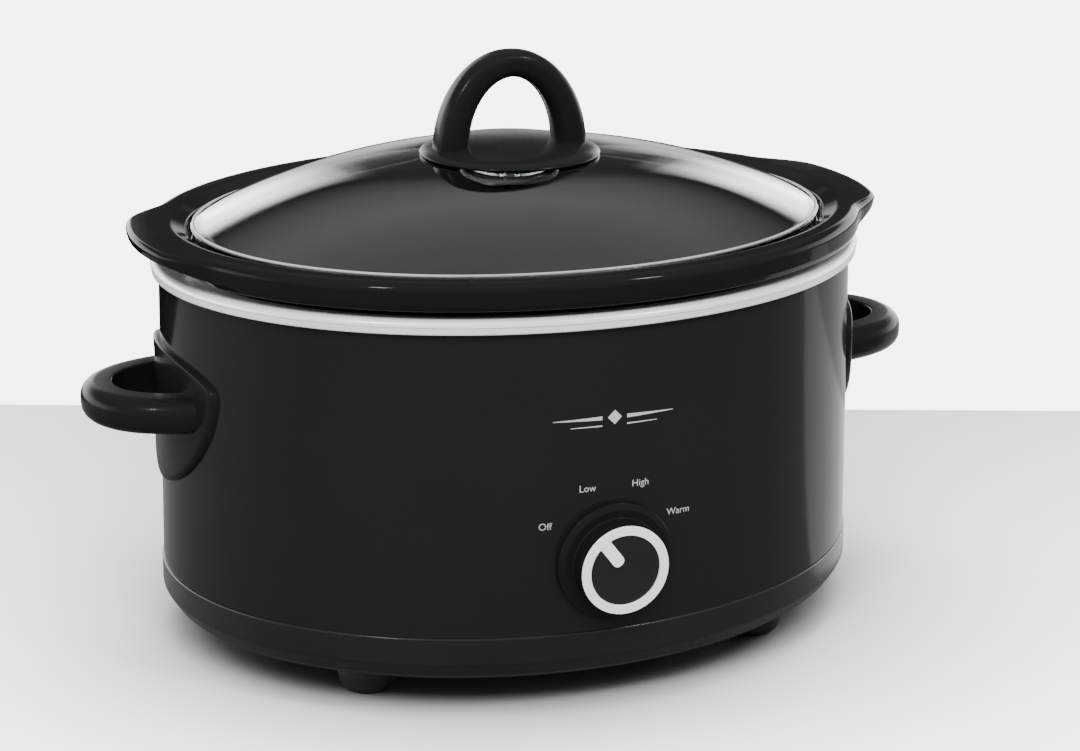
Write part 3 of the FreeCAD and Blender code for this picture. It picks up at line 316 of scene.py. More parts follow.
LINER_METAL = finish_material(
    "liner_aluminised", (0.46, 0.465, 0.455), (0.6, 0.605, 0.59),
    {"Scale": 26.0, "Clean": 0.32, "Marked": 0.5, "Dust": 0.2},
    {"Wave scale": 30.0, "Wave": 0.7, "Grain scale": 900.0, "Grain": 0.5}, 0.00008,
    Metallic=1.0)
HEATER_METAL = finish_material(
    "heater_steel", (0.34, 0.33, 0.29), (0.5, 0.48, 0.43),
    {"Scale": 20.0, "Clean": 0.35, "Marked": 0.55, "Dust": 0.2},
    {"Wave scale": 40.0, "Wave": 0.5, "Grain scale": 800.0, "Grain": 0.5}, 0.00006,
    Metallic=1.0)
FASTENER_STEEL = finish_material(
    "fastener_zinc", (0.5, 0.51, 0.5), (0.66, 0.66, 0.64),
    {"Scale": 80.0, "Clean": 0.22, "Marked": 0.4, "Dust": 0.2},
    {"Wave scale": 120.0, "Wave": 0.4, "Grain scale": 2000.0, "Grain": 0.4}, 0.00003,
    Metallic=1.0)
BRASS = finish_material(
    "stamped_brass", (0.62, 0.46, 0.2), (0.78, 0.62, 0.3),
    {"Scale": 90.0, "Clean": 0.2, "Marked": 0.38, "Dust": 0.2},
    {"Wave scale": 120.0, "Wave": 0.4, "Grain scale": 2000.0, "Grain": 0.4}, 0.00003,
    Metallic=1.0)
PALE_PLASTIC = finish_material(
    "heat_proof_plastic", (0.55, 0.52, 0.44), (0.66, 0.63, 0.55),
    {"Scale": 60.0, "Clean": 0.4, "Marked": 0.55, "Dust": 0.2},
    {"Wave scale": 80.0, "Wave": 0.4, "Grain scale": 1600.0, "Grain": 0.8}, 0.00005)
LEAD_SLEEVE = finish_material(
    "woven_sleeve", (0.6, 0.58, 0.5), (0.78, 0.76, 0.68),
    {"Scale": 90.0, "Clean": 0.7, "Marked": 0.9, "Dust": 0.1},
    {"Wave scale": 900.0, "Wave": 1.0, "Grain scale": 2600.0, "Grain": 0.6}, 0.0002,
    tone_scale=700.0)
# painted highlight: pale grey opaque finish for the rings that stand in for the glass's bright lines
PAINTED_GLASS_HIGHLIGHT = finish_material(
    "painted_glass_highlight", (0.2, 0.21, 0.2), (0.42, 0.43, 0.42),
    {"Scale": 30.0, "Clean": 0.15, "Marked": 0.3, "Dust": 0.1},
    {"Wave scale": 40.0, "Wave": 0.5, "Grain scale": 900.0, "Grain": 0.3}, 0.00003,
    tone_scale=14.0)
LID_GLASS = glass_material()

CAD_FINISH = {
    "heating_liner": LINER_METAL, "tie_bracket_left": LINER_METAL, "tie_bracket_right": LINER_METAL,
    "fuse_clip": LINER_METAL, "heater_band": HEATER_METAL, "band_screw": FASTENER_STEEL,
    "base_screws": FASTENER_STEEL, "handle_washers": FASTENER_STEEL, "handle_screws": FASTENER_STEEL,
    "switch_nut": FASTENER_STEEL, "lid_handle_washer": FASTENER_STEEL, "lid_handle_screw": FASTENER_STEEL,
    "heater_tabs": BRASS, "switch_terminals": BRASS, "spade_connectors": BRASS, "lid_handle_insert": BRASS,
    "switch_rotor": PALE_PLASTIC, "switch_case": PALE_PLASTIC, "switch_cover": PALE_PLASTIC,
    "crimp_caps": PALE_PLASTIC, "thermal_fuse": LEAD_SLEEVE, "lead_low_heat": LEAD_SLEEVE,
    "lead_high_heat": LEAD_SLEEVE, "lead_fuse_to_switch": LEAD_SLEEVE, "lead_supply_to_fuse": LEAD_SLEEVE,
    "lead_neutral": LEAD_SLEEVE, "lid_handle_gasket": PALE_PLASTIC,
}


def finish_cad_nodes():
    """Gives the pieces that come straight from the frame their materials."""
    for node, material in CAD_FINISH.items():
        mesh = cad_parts[node].data
        mesh.materials.clear()
        mesh.materials.append(material)


# ---- modelling helpers ------------------------------------------------------------

def start_fresh():
    if bpy.context.object and bpy.context.object.mode != "OBJECT":
        bpy.ops.object.mode_set(mode="OBJECT")
    bpy.ops.object.select_all(action="DESELECT")


def choose(*pieces):
    start_fresh()
    for piece in pieces:
        piece.select_set(True)
    bpy.context.view_layer.objects.active = pieces[0]


def rounded(corners, steps=6, closed=False):
    """Points along a line of (outset, z, radius) corners, with arcs at the corners."""
    spots = [Vector((u, v)) for u, v, radius in corners]
    points = []
    for i, spot in enumerate(spots):
        radius = corners[i][2]
        ends = not closed and i in (0, len(spots) - 1)
        if ends or radius == 0:
            points.append(spot)
            continue
        arrive = (spot - spots[i - 1]).normalized()
        leave = (spots[(i + 1) % len(spots)] - spot).normalized()
        half_turn = arrive.angle(leave) / 2
        run = radius * math.tan(half_turn)
        centre = spot + (leave - arrive).normalized() * radius / math.cos(half_turn)
        first = spot - arrive * run - centre
        turn = math.copysign(2 * half_turn, arrive.cross(leave))
        for step in range(steps + 1):
            part = turn * step / steps
            points.append(centre + Matrix.Rotation(part, 2) @ first)
    return [(p.x, p.y) for p in points]


def draw_rings(name, rings, sides=SIDES, joined=False):
    """One edge ring, extruded and resized through (half x, half y, z), then closed."""
    start_fresh()
    bpy.ops.mesh.primitive_circle_add(vertices=sides, radius=1, fill_type="NOTHING", location=(0, 0, 0))
    piece = bpy.context.object
    piece.name = name
    piece.data.name = name
    bpy.ops.object.mode_set(mode="EDIT")
    bpy.ops.mesh.select_all(action="SELECT")
    wide, deep, z = rings[0]
    bpy.ops.transform.resize(value=(wide, deep, 1), center_override=(0, 0, 0))
    bpy.ops.transform.translate(value=(0, 0, z))
    for (wide, deep, z), (next_wide, next_deep, next_z) in zip(rings, rings[1:]):
        bpy.ops.mesh.extrude_region_move(TRANSFORM_OT_translate={"value": (0, 0, next_z - z)})
        bpy.ops.transform.resize(value=(next_wide / wide, next_deep / deep, 1), center_override=(0, 0, 0))
    bpy.ops.mesh.select_all(action="DESELECT")
    bpy.ops.mesh.select_non_manifold()
    if joined:
        bpy.ops.mesh.bridge_edge_loops()
    else:
        bpy.ops.mesh.fill_holes(sides=0)
    bpy.ops.mesh.select_all(action="SELECT")
    bpy.ops.mesh.normals_make_consistent(inside=False)
    bpy.ops.object.mode_set(mode="OBJECT")
    return piece


def oval_rings(points):
    """Rings round the cooker's plan oval from (outset, z) points."""
    return [(HALF_LENGTH + out, HALF_DEPTH + out, z) for out, z in points]


def place(piece, location=(0, 0, 0), rotation=(0, 0, 0)):
    """Puts a piece at its place and leaves the object itself at the origin."""
    choose(piece)
    piece.rotation_euler = rotation
    piece.location = location
    bpy.ops.object.transform_apply(location=True, rotation=True, scale=True)


def apply_modifier(piece, kind, **settings):
    choose(piece)
    modifier = piece.modifiers.new(kind.title(), kind)
    for label, value in settings.items():
        setattr(modifier, label, value)
    bpy.ops.object.modifier_apply(modifier=modifier.name)


def smooth(piece, angle=35):
    choose(piece)
    bpy.ops.object.shade_smooth_by_angle(angle=math.radians(angle))
    apply_modifier(piece, "WEIGHTED_NORMAL", keep_sharp=True)


def hand_over(piece, body, slot, material, *nodes):
    """Gives a finished piece its material and body, and hides the CAD nodes it stands for; the slot is not
    used.
    """
    piece.data.materials.clear()
    piece.data.materials.append(material)
    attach(piece, body)
    if nodes:
        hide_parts(*nodes)


def turned(name, points, sides=96):
    """Round piece about Z from (radius, z) points that run from axis to axis."""
    return draw_rings(name, [(radius, radius, z) for radius, z in points], sides)


def slab(name, corners, low, high, cuts=0):
    """Flat piece with an outline of (x, y, radius) corners between two heights."""
    points = rounded(corners, 8, True)
    start_fresh()
    bpy.ops.mesh.primitive_circle_add(vertices=len(points), fill_type="NGON", location=(0, 0, 0))
    piece = bpy.context.object
    piece.name = name
    for vertex, point in zip(piece.data.vertices, points):
        vertex.co = (*point, low)
    bpy.ops.object.mode_set(mode="EDIT")
    bpy.ops.mesh.select_all(action="SELECT")
    bpy.ops.mesh.extrude_region_move(TRANSFORM_OT_translate={"value": (0, 0, high - low)})
    bpy.ops.mesh.select_all(action="SELECT")
    bpy.ops.mesh.normals_make_consistent(inside=False)
    if cuts:
        bpy.ops.mesh.quads_convert_to_tris()
        bpy.ops.mesh.subdivide(number_cuts=cuts)
    bpy.ops.object.mode_set(mode="OBJECT")
    return piece


def bar_section(corners):
    """Closed section curve for a bar from (outward, up, radius) corners."""
    points = rounded(corners, 5, True)
    start_fresh()
    bpy.ops.mesh.primitive_circle_add(vertices=len(points), fill_type="NOTHING", location=(0, 0, 0))
    section = bpy.context.object
    for vertex, point in zip(section.data.vertices, points):
        vertex.co = (*point, 0)
    bpy.ops.object.convert(target="CURVE")
    return bpy.context.object


def bent_bar(name, section, reach, half_width, tip_lean, top_scale):
    """Bar in the XY plane from the Y axis out to +X and back, with the given section."""
    start_fresh()
    bpy.ops.curve.primitive_bezier_curve_add(location=(0, 0, 0))
    bar = bpy.context.object
    bar.name = name
    spline = bar.data.splines[0]
    spline.bezier_points.add(1)
    lean = QUARTER_CIRCLE * reach
    side = half_width * tip_lean
    shape = [
        ((0, -half_width), (-lean, -half_width), (lean, -half_width), 1.0),
        ((reach, 0), (reach, -side), (reach, side), top_scale),
        ((0, half_width), (lean, half_width), (-lean, half_width), 1.0),
    ]
    for point, (spot, before, after, size) in zip(spline.bezier_points, shape):
        point.handle_left_type = point.handle_right_type = "FREE"
        point.co = (*spot, 0)
        point.handle_left = (*before, 0)
        point.handle_right = (*after, 0)
        point.radius = size
    bar.data.dimensions = "3D"
    bar.data.twist_mode = "Z_UP"
    bar.data.resolution_u = BAR_STEPS
    bar.data.bevel_mode = "OBJECT"
    bar.data.bevel_object = section
    bar.data.use_fill_caps = True
    choose(bar)
    bpy.ops.object.convert(target="MESH")
    bar = bpy.context.object
    bpy.data.objects.remove(section)
    return bar


def clean(piece):
    choose(piece)
    bpy.ops.object.mode_set(mode="EDIT")
    bpy.ops.mesh.select_all(action="SELECT")
    bpy.ops.mesh.remove_doubles(threshold=0.00001)
    bpy.ops.mesh.normals_make_consistent(inside=False)
    bpy.ops.object.mode_set(mode="OBJECT")


def united(piece, other):
    """Joins another closed shape to a piece and removes the inner walls."""
    clean(piece)
    clean(other)
    apply_modifier(piece, "BOOLEAN", operation="UNION", object=other, solver="EXACT")
    bpy.data.objects.remove(other)
    return piece


# ---- camera, lights and ground -------------------------------------------------------

BACKDROP_WHITE = 6.0
SWEEP_LIGHT = 1.1
WALL_LIGHT = 0.05
SIDE_LIGHT = 4.5
CEILING_LIGHT = 0.5
FRONT_LIGHT = 0.8
TABLE_TONE = 0.5
# darker table tone for glossy rays only: painted dimming of the table in reflections
TABLE_MIRRORED = 0.12
# painted light on the table: camera-seen brightness near the camera and far from it
PAINTED_LIGHT_NEAR = 2.6
PAINTED_LIGHT_FAR = 0.95
# painted contact shadow on the table round the cooker: its reach and strength
PAINTED_SHADOW_REACH = 0.3
PAINTED_SHADOW_POWER = 1.5
TABLE_WIDTH = 9.0
TABLE_DEPTH = 4.3
TABLE_BACK = 0.307
TABLE_FADE = 0.6
TABLE_TURN = math.radians(-20.7)
CAMERA_TURN = math.radians(-20.0)
CAMERA_RISE = math.radians(17.0)
CAMERA_PAN = math.radians(-0.73)
CAMERA_TILT = math.radians(0.62)
CAMERA_ROLL = math.radians(0.34)
CAMERA_DISTANCE = 1255.3 * MM
CAMERA_LENS = 84.27
TARGET_Z = 133.0 * MM


def make_camera():
    """Camera aimed at the target, then panned, tilted and rolled by a little."""
    data = bpy.data.cameras.new("camera")
    camera = bpy.data.objects.new("camera", data)
    bpy.context.collection.objects.link(camera)
    data.sensor_width = 36.0
    data.lens = CAMERA_LENS
    target = Vector((0, MIDDLE_Y, TARGET_Z))

    def backward(turn, rise):
        return Vector((math.sin(turn) * math.cos(rise), -math.cos(turn) * math.cos(rise), math.sin(rise)))

    back = backward(CAMERA_TURN + CAMERA_PAN, CAMERA_RISE + CAMERA_TILT)
    right = Vector((math.cos(CAMERA_TURN + CAMERA_PAN), math.sin(CAMERA_TURN + CAMERA_PAN), 0))
    up = back.cross(right)
    level = right * math.cos(CAMERA_ROLL) + up * math.sin(CAMERA_ROLL)
    upright = up * math.cos(CAMERA_ROLL) - right * math.sin(CAMERA_ROLL)
    turn = Matrix((level, upright, back)).transposed().to_4x4()
    spot = target + backward(CAMERA_TURN, CAMERA_RISE) * CAMERA_DISTANCE
    camera.matrix_world = Matrix.Translation(spot) @ turn
    bpy.context.scene.camera = camera


def soft_box(name, spot, aim, width, height, power):
    """Rectangular lamp that the camera doesn't see."""
    data = bpy.data.lights.new(name, "AREA")
    data.shape = "RECTANGLE"
    data.size = width
    data.size_y = height
    data.energy = power
    lamp = bpy.data.objects.new(name, data)
    bpy.context.collection.objects.link(lamp)
    lamp.location = spot
    lamp.visible_camera = False
    lamp.rotation_euler = (Vector(aim) - Vector(spot)).to_track_quat("-Z", "Y").to_euler()
    return lamp


def make_world():
    """Studio surroundings: light low behind, brighter to its sides, soft grey overhead and in front."""
    world = bpy.data.worlds.new("studio")
    world.use_nodes = True
    bpy.context.scene.world = world
    tree = world.node_tree
    background = tree.nodes["Background"]
    coords = tree.nodes.new("ShaderNodeTexCoord")
    split = tree.nodes.new("ShaderNodeSeparateXYZ")
    link(tree, coords.outputs["Generated"], split.inputs["Vector"])
    sweep = scale_between(tree, split.outputs["Z"], 0.1, 0.2, SWEEP_LIGHT, WALL_LIGHT)
    ceiling = scale_between(tree, split.outputs["Z"], 0.42, 0.75, 0.0, CEILING_LIGHT - WALL_LIGHT)
    across = tree.nodes.new("ShaderNodeVectorMath")
    across.operation = "DOT_PRODUCT"
    across.inputs[1].default_value = (math.cos(CAMERA_TURN), math.sin(CAMERA_TURN), 0)
    link(tree, coords.outputs["Generated"], across.inputs[0])
    apart = tree.nodes.new("ShaderNodeMath")
    apart.operation = "ABSOLUTE"
    link(tree, across.outputs["Value"], apart.inputs[0])
    aside = scale_between(tree, apart.outputs["Value"], 0.15, 0.28, 0.0, 1.0)
    strip = scale_between(tree, split.outputs["Z"], 0.3, 0.4, SIDE_LIGHT, 0.0)
    above = scale_between(tree, split.outputs["Z"], -0.1, -0.02, 0.0, 1.0)
    low = maths(tree, "ADD", sweep, maths(tree, "MULTIPLY", aside, strip))
    behind = maths(tree, "ADD", maths(tree, "MULTIPLY", low, above), ceiling)
    back_half = scale_between(tree, split.outputs["Y"], -0.25, 0.15, 0.0, 1.0)
    around = blended(tree, back_half, FRONT_LIGHT, behind)
    path = tree.nodes.new("ShaderNodeLightPath")
    seen = blended(tree, path.outputs["Is Camera Ray"], around, BACKDROP_WHITE)
    link(tree, seen, background.inputs["Strength"])
    background.inputs["Color"].default_value = (1, 1, 1, 1)


def make_ground():
    """Pale table top that ends a little way behind the cooker, with painted light that makes it brighter near
    the camera.
    """
    start_fresh()
    bpy.ops.mesh.primitive_plane_add(size=1, location=(0, 0, 0))
    ground = bpy.context.object
    ground.name = "table_top"
    bpy.ops.object.mode_set(mode="EDIT")
    bpy.ops.mesh.select_all(action="SELECT")
    bpy.ops.transform.resize(value=(TABLE_WIDTH, TABLE_DEPTH, 1), center_override=(0, 0, 0))
    bpy.ops.mesh.subdivide(number_cuts=3)
    bpy.ops.object.mode_set(mode="OBJECT")
    back = Vector((-math.sin(TABLE_TURN), math.cos(TABLE_TURN), 0))
    spot = Vector((0, MIDDLE_Y, 0)) + back * (TABLE_BACK - TABLE_DEPTH / 2)
    place(ground, spot, (0, 0, TABLE_TURN))
    ground.data.materials.append(table_material(back))


def table_material(back):
    """Pale table with painted light and shadow for the camera: a painted brightening towards the camera and a
    painted contact shadow from ambient occlusion round the cooker; a plain tone for other rays, darker for
    glossy rays as a painted dimming of the table in reflections.
    """
    material = bpy.data.materials.new("pale_table_painted_light_and_shadow")
    material.use_nodes = True
    tree = material.node_tree
    shader = tree.nodes["Principled BSDF"]
    shader.inputs["Roughness"].default_value = 0.4
    shader.inputs["Specular IOR Level"].default_value = 0.3
    coords = tree.nodes.new("ShaderNodeTexCoord")
    along = tree.nodes.new("ShaderNodeVectorMath")
    along.operation = "DOT_PRODUCT"
    along.inputs[1].default_value = back
    link(tree, coords.outputs["Object"], along.inputs[0])
    # painted light: camera-only table colour, above 1, brighter towards the camera
    painted_light_ramp = scale_between(tree, along.outputs["Value"], TABLE_BACK, TABLE_BACK - TABLE_FADE,
                        PAINTED_LIGHT_FAR, PAINTED_LIGHT_NEAR)
    # painted contact shadow: ambient occlusion darkens the table's colour round the cooker
    painted_contact_shadow = tree.nodes.new("ShaderNodeAmbientOcclusion")
    painted_contact_shadow.inputs["Distance"].default_value = PAINTED_SHADOW_REACH
    painted_light_and_shadow = maths(tree, "MULTIPLY", maths(tree, "POWER", painted_contact_shadow.outputs["AO"], PAINTED_SHADOW_POWER), painted_light_ramp)
    path = tree.nodes.new("ShaderNodeLightPath")
    # darker tone for glossy rays: painted dimming of the table in the cooker's reflections
    unseen = blended(tree, path.outputs["Is Glossy Ray"], TABLE_TONE, TABLE_MIRRORED)
    tone = blended(tree, path.outputs["Is Camera Ray"], unseen, painted_light_and_shadow)
    link(tree, tone, shader.inputs["Base Color"])
    return material


def make_lights():
    middle = (0, MIDDLE_Y, 0.12)
    for lamp in (soft_box("overhead", (0.1, 0.3, 1.7), middle, 1.4, 0.8, 26),
                 soft_box("front_fill", (-0.5, -1.6, 1.9), middle, 1.6, 0.9, 62)):
        lamp.visible_glossy = False
        lamp.visible_transmission = False
    soft_box("key_left", (-1.1, -1.1, 1.3), middle, 0.16, 0.3, 9)
    soft_box("key_right", (0.9, -1.2, 1.5), middle, 0.16, 0.3, 9)
    soft_box("right_card", (0.80, 0.42, 0.002), (0.80, 0.42, 1.0), 1.2, 1.0, 3.6)


# ---- heater body ---------------------------------------------------------------------

def make_shell():
    """Painted wall, a little wider at its foot than under the ring."""
    top = shell_high.z
    wall, edge = 0.8 * MM, 0.4 * MM
    wide, narrow = shell_out(SHELL_Z), shell_out(top)
    points = [
        (wide, SHELL_Z), (wide, SHELL_Z + edge), (narrow, top - edge), (narrow, top),
        (narrow - wall, top), (narrow - wall, top - edge),
        (wide - wall, SHELL_Z + edge), (wide - wall, SHELL_Z),
    ]
    shell = draw_rings("shell_wrap", oval_rings(points), joined=True)
    place(shell, (0, MIDDLE_Y, 0))
    smooth(shell)
    hand_over(shell, "base", "shell_paint", SHELL_PAINT, "outer_shell")


def make_trim_ring():
    """Rolled silver ring: a bright upper bead above a flat lower band."""
    low, high = ring_low.z, 189.8 * MM
    seat = shell_high.z + 0.8 * MM
    out = 3.8 * MM
    corners = [
        (0.15 * MM, low, 0.2 * MM), (out - 0.5 * MM, low, 1.0 * MM),
        (out - 0.4 * MM, low + 3.2 * MM, 0.3 * MM), (out, low + 3.6 * MM, 0.8 * MM),
        (out, high, 2.9 * MM), (-10.2 * MM, high - 2 * MM, 0.5 * MM),
        (-10.2 * MM, seat, 0.2 * MM), (0.15 * MM, seat, 0.2 * MM),
    ]
    ring = draw_rings("trim_ring_rolled", oval_rings(rounded(corners, 6, True)), joined=True)
    place(ring, (0, MIDDLE_Y, 0))
    smooth(ring)
    hand_over(ring, "base", "trim_silver", SATIN_SILVER, "trim_ring")


def make_tray():
    """Low tray with a chamfered lower strip, open to the inside of the body."""
    low, top = tray_low.z, SHELL_Z
    out = shell_out(SHELL_Z) + 0.8 * MM
    inner = shell_out(SHELL_Z) - 3.0 * MM
    corners = [
        (-120 * MM, low + 0.6 * MM, 0), (-18 * MM, low + 0.6 * MM, 1 * MM), (-15.5 * MM, low, 1 * MM),
        (out - 7 * MM, low, 2.5 * MM), (out - 4.2 * MM, low + 2.6 * MM, 2 * MM),
        (out - 0.7 * MM, low + 8 * MM, 1.5 * MM), (out, low + 9.5 * MM, 2 * MM), (out, top, 1.0 * MM),
        (out - 1 * MM, top, 0), (inner, top, 0), (inner, low + 11 * MM, 2 * MM),
        (inner - 6 * MM, low + 2.8 * MM, 3 * MM), (-120 * MM, low + 2.8 * MM, 0),
    ]
    tray = draw_rings("base_tray_shell", oval_rings(rounded(corners)))
    place(tray, (0, MIDDLE_Y, 0))
    smooth(tray)
    hand_over(tray, "base", "tray_plastic", TRAY_PLASTIC, "base_tray")


def make_feet():
    top = tray_low.z
    corners = [
        (0.4 * MM, 0, 0), (9.2 * MM, 0, 1.5 * MM), (12.4 * MM, 3 * MM, 5 * MM), (14 * MM, 9 * MM, 5 * MM),
        (13.8 * MM, top - 0.1 * MM, 0.5 * MM), (0.4 * MM, top - 0.1 * MM, 0),
    ]
    for node in ("foot_front_left", "foot_front_right", "foot_back_left", "foot_back_right"):
        low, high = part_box(node)
        foot = turned(node + "_pad", rounded(corners), 64)
        place(foot, ((low.x + high.x) / 2, (low.y + high.y) / 2, 0))
        smooth(foot)
        hand_over(foot, "base", "foot_rubber", FOOT_RUBBER, node)


def make_bushing():
    """Black ring round the cord hole, with a short stepped collar."""
    flange = bushing_high.x
    start = bushing_low.y
    wall = tray_high.y
    end = bushing_high.y
    bore = 3.4 * MM
    corners = [
        (bore, start, 0.5 * MM), (bore + 3.2 * MM, start, 0.6 * MM), (bore + 3.2 * MM, wall, 0.2 * MM),
        (flange, wall, 0.4 * MM), (flange, wall + 2 * MM, 0.8 * MM),
        (bore + 3.4 * MM, wall + 2.2 * MM, 0.5 * MM), (bore + 2.2 * MM, end, 0.6 * MM), (bore, end, 0.5 * MM),
    ]
    points = [(radius, radius, z) for radius, z in rounded(corners, 4, True)]
    bushing = draw_rings("cord_bushing_ring", points, 64, joined=True)
    place(bushing, (0, 0, (bushing_low.z + bushing_high.z) / 2), (math.radians(-90), 0, 0))
    smooth(bushing)
    hand_over(bushing, "base", "bushing_plastic", FOOT_RUBBER, "cord_bushing")


# ---- side handles --------------------------------------------------------------------

PLATE_HALF_WIDTH = 52.5 * MM
PLATE_WIDEST_Z = 138.0 * MM
PLATE_TRIM = 4.0 * MM
UPPER_POWER = 0.85
LOWER_POWER = 1.12


def signed_power(value, power):
    return math.copysign(abs(value) ** power, value)


def make_plate(name):
    """Shield-shaped back plate that hugs the right-hand end of the shell."""
    face, back = 3.0 * MM, 0.05 * MM
    points = [(size, face) for size in (0.02, 0.35, 0.7, 0.9, 0.955)]
    points += [(0.975, face - 0.15 * MM), (0.99, face - 0.6 * MM), (0.998, face - 1.4 * MM)]
    points += [(size, back) for size in (1.0, 0.9, 0.6, 0.02)]
    plate = draw_rings(name, [(size, size, out) for size, out in points], 128)
    for vertex in plate.data.vertices:
        radius = math.hypot(vertex.co.x, vertex.co.y)
        angle = math.atan2(vertex.co.y, vertex.co.x)
        if angle > 0:
            power, tall = UPPER_POWER, grip_high.z - PLATE_TRIM - PLATE_WIDEST_Z
        else:
            power, tall = LOWER_POWER, PLATE_WIDEST_Z - grip_low.z
        across = signed_power(math.cos(angle), power) * radius * PLATE_HALF_WIDTH
        z = PLATE_WIDEST_Z + signed_power(math.sin(angle), power) * radius * tall
        vertex.co = (wall_x(across, z, vertex.co.z), across, z)
    clean(plate)
    return plate


def wall_cutter():
    """Solid oval that fills the shell, for trimming what must stop at its face."""
    points = [(shell_out(z) + 0.3 * MM, z) for z in (0.0, crock_high.z)]
    return draw_rings("wall_cutter", oval_rings(points))


def make_side_handle(side, node):
    """Loop on its back plate, made for the right-hand end and mirrored for the left."""
    section = bar_section([(-7.5 * MM, -8.6 * MM, 2.5 * MM), (7.5 * MM, -8.6 * MM, 7 * MM),
                           (7.5 * MM, 8.6 * MM, 7 * MM), (-7.5 * MM, 8.6 * MM, 1.0 * MM)])
    start_x = 155 * MM
    reach = grip_high.x - 7.5 * MM - start_x
    bar = bent_bar("bar_" + node, section, reach, 35.5 * MM, 0.64, 1.0)
    place(bar, (start_x, 0, GRIP_Z))
    cutter = wall_cutter()
    clean(bar)
    apply_modifier(bar, "BOOLEAN", operation="DIFFERENCE", object=cutter, solver="EXACT")
    bpy.data.objects.remove(cutter)
    plate = make_plate(node + "_moulding")
    handle = united(plate, bar)
    if side < 0:
        choose(handle)
        handle.scale = (-1, 1, 1)
        bpy.ops.object.transform_apply(location=True, rotation=True, scale=True)
    place(handle, (0, MIDDLE_Y, 0))
    clean(handle)
    smooth(handle, 40)
    hand_over(handle, "base", "handle_plastic", PHENOLIC, node)


# ---- crock ------------------------------------------------------------------------------

RIM_LOW = 193.0 * MM
SEAT_Z = glass_low.z


def crock_line(lug):
    """Outline of the crock's wall from the inside floor over the rim to the outside."""
    top = crock_high.z
    floor = crock_low.z + 8.2 * MM
    if lug:
        lip = [(15.2 * MM, top - 0.3 * MM, 2.6 * MM), (13.6 * MM, top - 6.0 * MM, 2.2 * MM),
               (3.2 * MM, RIM_LOW + 3.5 * MM, 7 * MM)]
    else:
        lip = [(5.0 * MM, top, 4.5 * MM), (4.2 * MM, RIM_LOW + 3 * MM, 2 * MM),
               (2.6 * MM, RIM_LOW, 1.2 * MM)]
    corners = [
        (-120 * MM, floor, 0), (-34.2 * MM, floor, 14 * MM), (-24 * MM, SEAT_Z - 1 * MM, 2.5 * MM),
        (-22 * MM, SEAT_Z - 0.3 * MM, 1.5 * MM), (-14.4 * MM, SEAT_Z - 0.1 * MM, 1 * MM),
        (-13.6 * MM, SEAT_Z + 3.2 * MM, 1.5 * MM), (-6.0 * MM, top, 5 * MM), *lip,
        (-15 * MM, RIM_LOW, 3 * MM), (-27 * MM, crock_low.z, 16 * MM), (-120 * MM, crock_low.z, 0),
    ]
    return rounded(corners, 6)


def make_crock():
    """Oval pot whose rim is drawn out into a lug at each end."""
    plain, pulled = crock_line(False), crock_line(True)
    crock = draw_rings("crock_pot", oval_rings(plain))
    full, none = 30 * MM, 60 * MM
    for index, (start, end) in enumerate(zip(plain, pulled)):
        if abs(start[0] - end[0]) + abs(start[1] - end[1]) < 1e-7:
            continue
        for vertex in crock.data.vertices[index * SIDES:(index + 1) * SIDES]:
            part = min(1.0, max(0.0, (none - abs(vertex.co.y)) / (none - full)))
            part = part * part * (3 - 2 * part)
            outward = Vector((vertex.co.x / HALF_LENGTH ** 2, vertex.co.y / HALF_DEPTH ** 2, 0))
            vertex.co += outward.normalized() * (end[0] - start[0]) * part
            vertex.co.z += (end[1] - start[1]) * part
    place(crock, (0, MIDDLE_Y, 0))
    smooth(crock, 60)
    hand_over(crock, "crock", "glazed_stoneware", GLAZE, "crock")


# ---- lid -----------------------------------------------------------------------------------

GLASS = 4.0 * MM
EDGE_TALL = 3.9 * MM
DOME_TOP = 42 * MM
DOME_FULLNESS = 1.9
DOME_STEPS = 28


def dome_rings(inset):
    """Rings from the lid's oval edge up to the round place under the handle, inset all over."""
    edge_x, edge_y = glass_high.x - inset, (glass_high.y - glass_low.y) / 2 - inset
    top = DOME_TOP - inset
    rise = glass_high.z - SEAT_Z - EDGE_TALL
    rings = []
    for step in range(DOME_STEPS + 1):
        part = step / DOME_STEPS
        rings.append((edge_x + (top - edge_x) * part, edge_y + (top - edge_y) * part,
                      SEAT_Z + EDGE_TALL - inset + rise * (1 - (1 - part) ** DOME_FULLNESS)))
    return rings


def make_lid_glass():
    """Clear dome with a rounded edge and a bowl-shaped hollow in the middle."""
    outside, inside = dome_rings(0), dome_rings(GLASS)
    edge_x, edge_y, edge_z = outside[0]
    edge = []
    for step in range(1, 8):
        angle = math.pi * step / 8
        back = GLASS * 0.25 * (1 - math.cos(angle)) - 0.4 * MM * math.sin(angle)
        edge.append((edge_x - back, edge_y - back, edge_z - (edge_z - SEAT_Z) * (1 - math.cos(angle)) / 2))
    edge.append((edge_x - GLASS * 0.7, edge_y - GLASS * 0.7, SEAT_Z + 0.1 * MM))
    top = glass_high.z
    deep = top - 8 * MM
    bowl = rounded([(38 * MM, top, 0), (20.5 * MM, top, 2 * MM), (18.5 * MM, deep, 5 * MM),
                    (3.2 * MM, deep, 0.5 * MM)], 7)
    under = rounded([(3.2 * MM, deep - GLASS, 0.5 * MM), (22 * MM, deep - GLASS, 5 * MM),
                     (24 * MM, top - GLASS, 2.5 * MM), (34 * MM, top - GLASS, 0)], 7)
    rings = [(radius, radius, z) for radius, z in under] + inside[::-1] + edge[::-1]
    rings += outside + [(radius, radius, z) for radius, z in bowl]
    lid = draw_rings("lid_dome", rings, joined=True)
    place(lid, (0, MIDDLE_Y, 0))
    smooth(lid, 60)
    hand_over(lid, "lid", "lid_glass", LID_GLASS, "lid_glass")


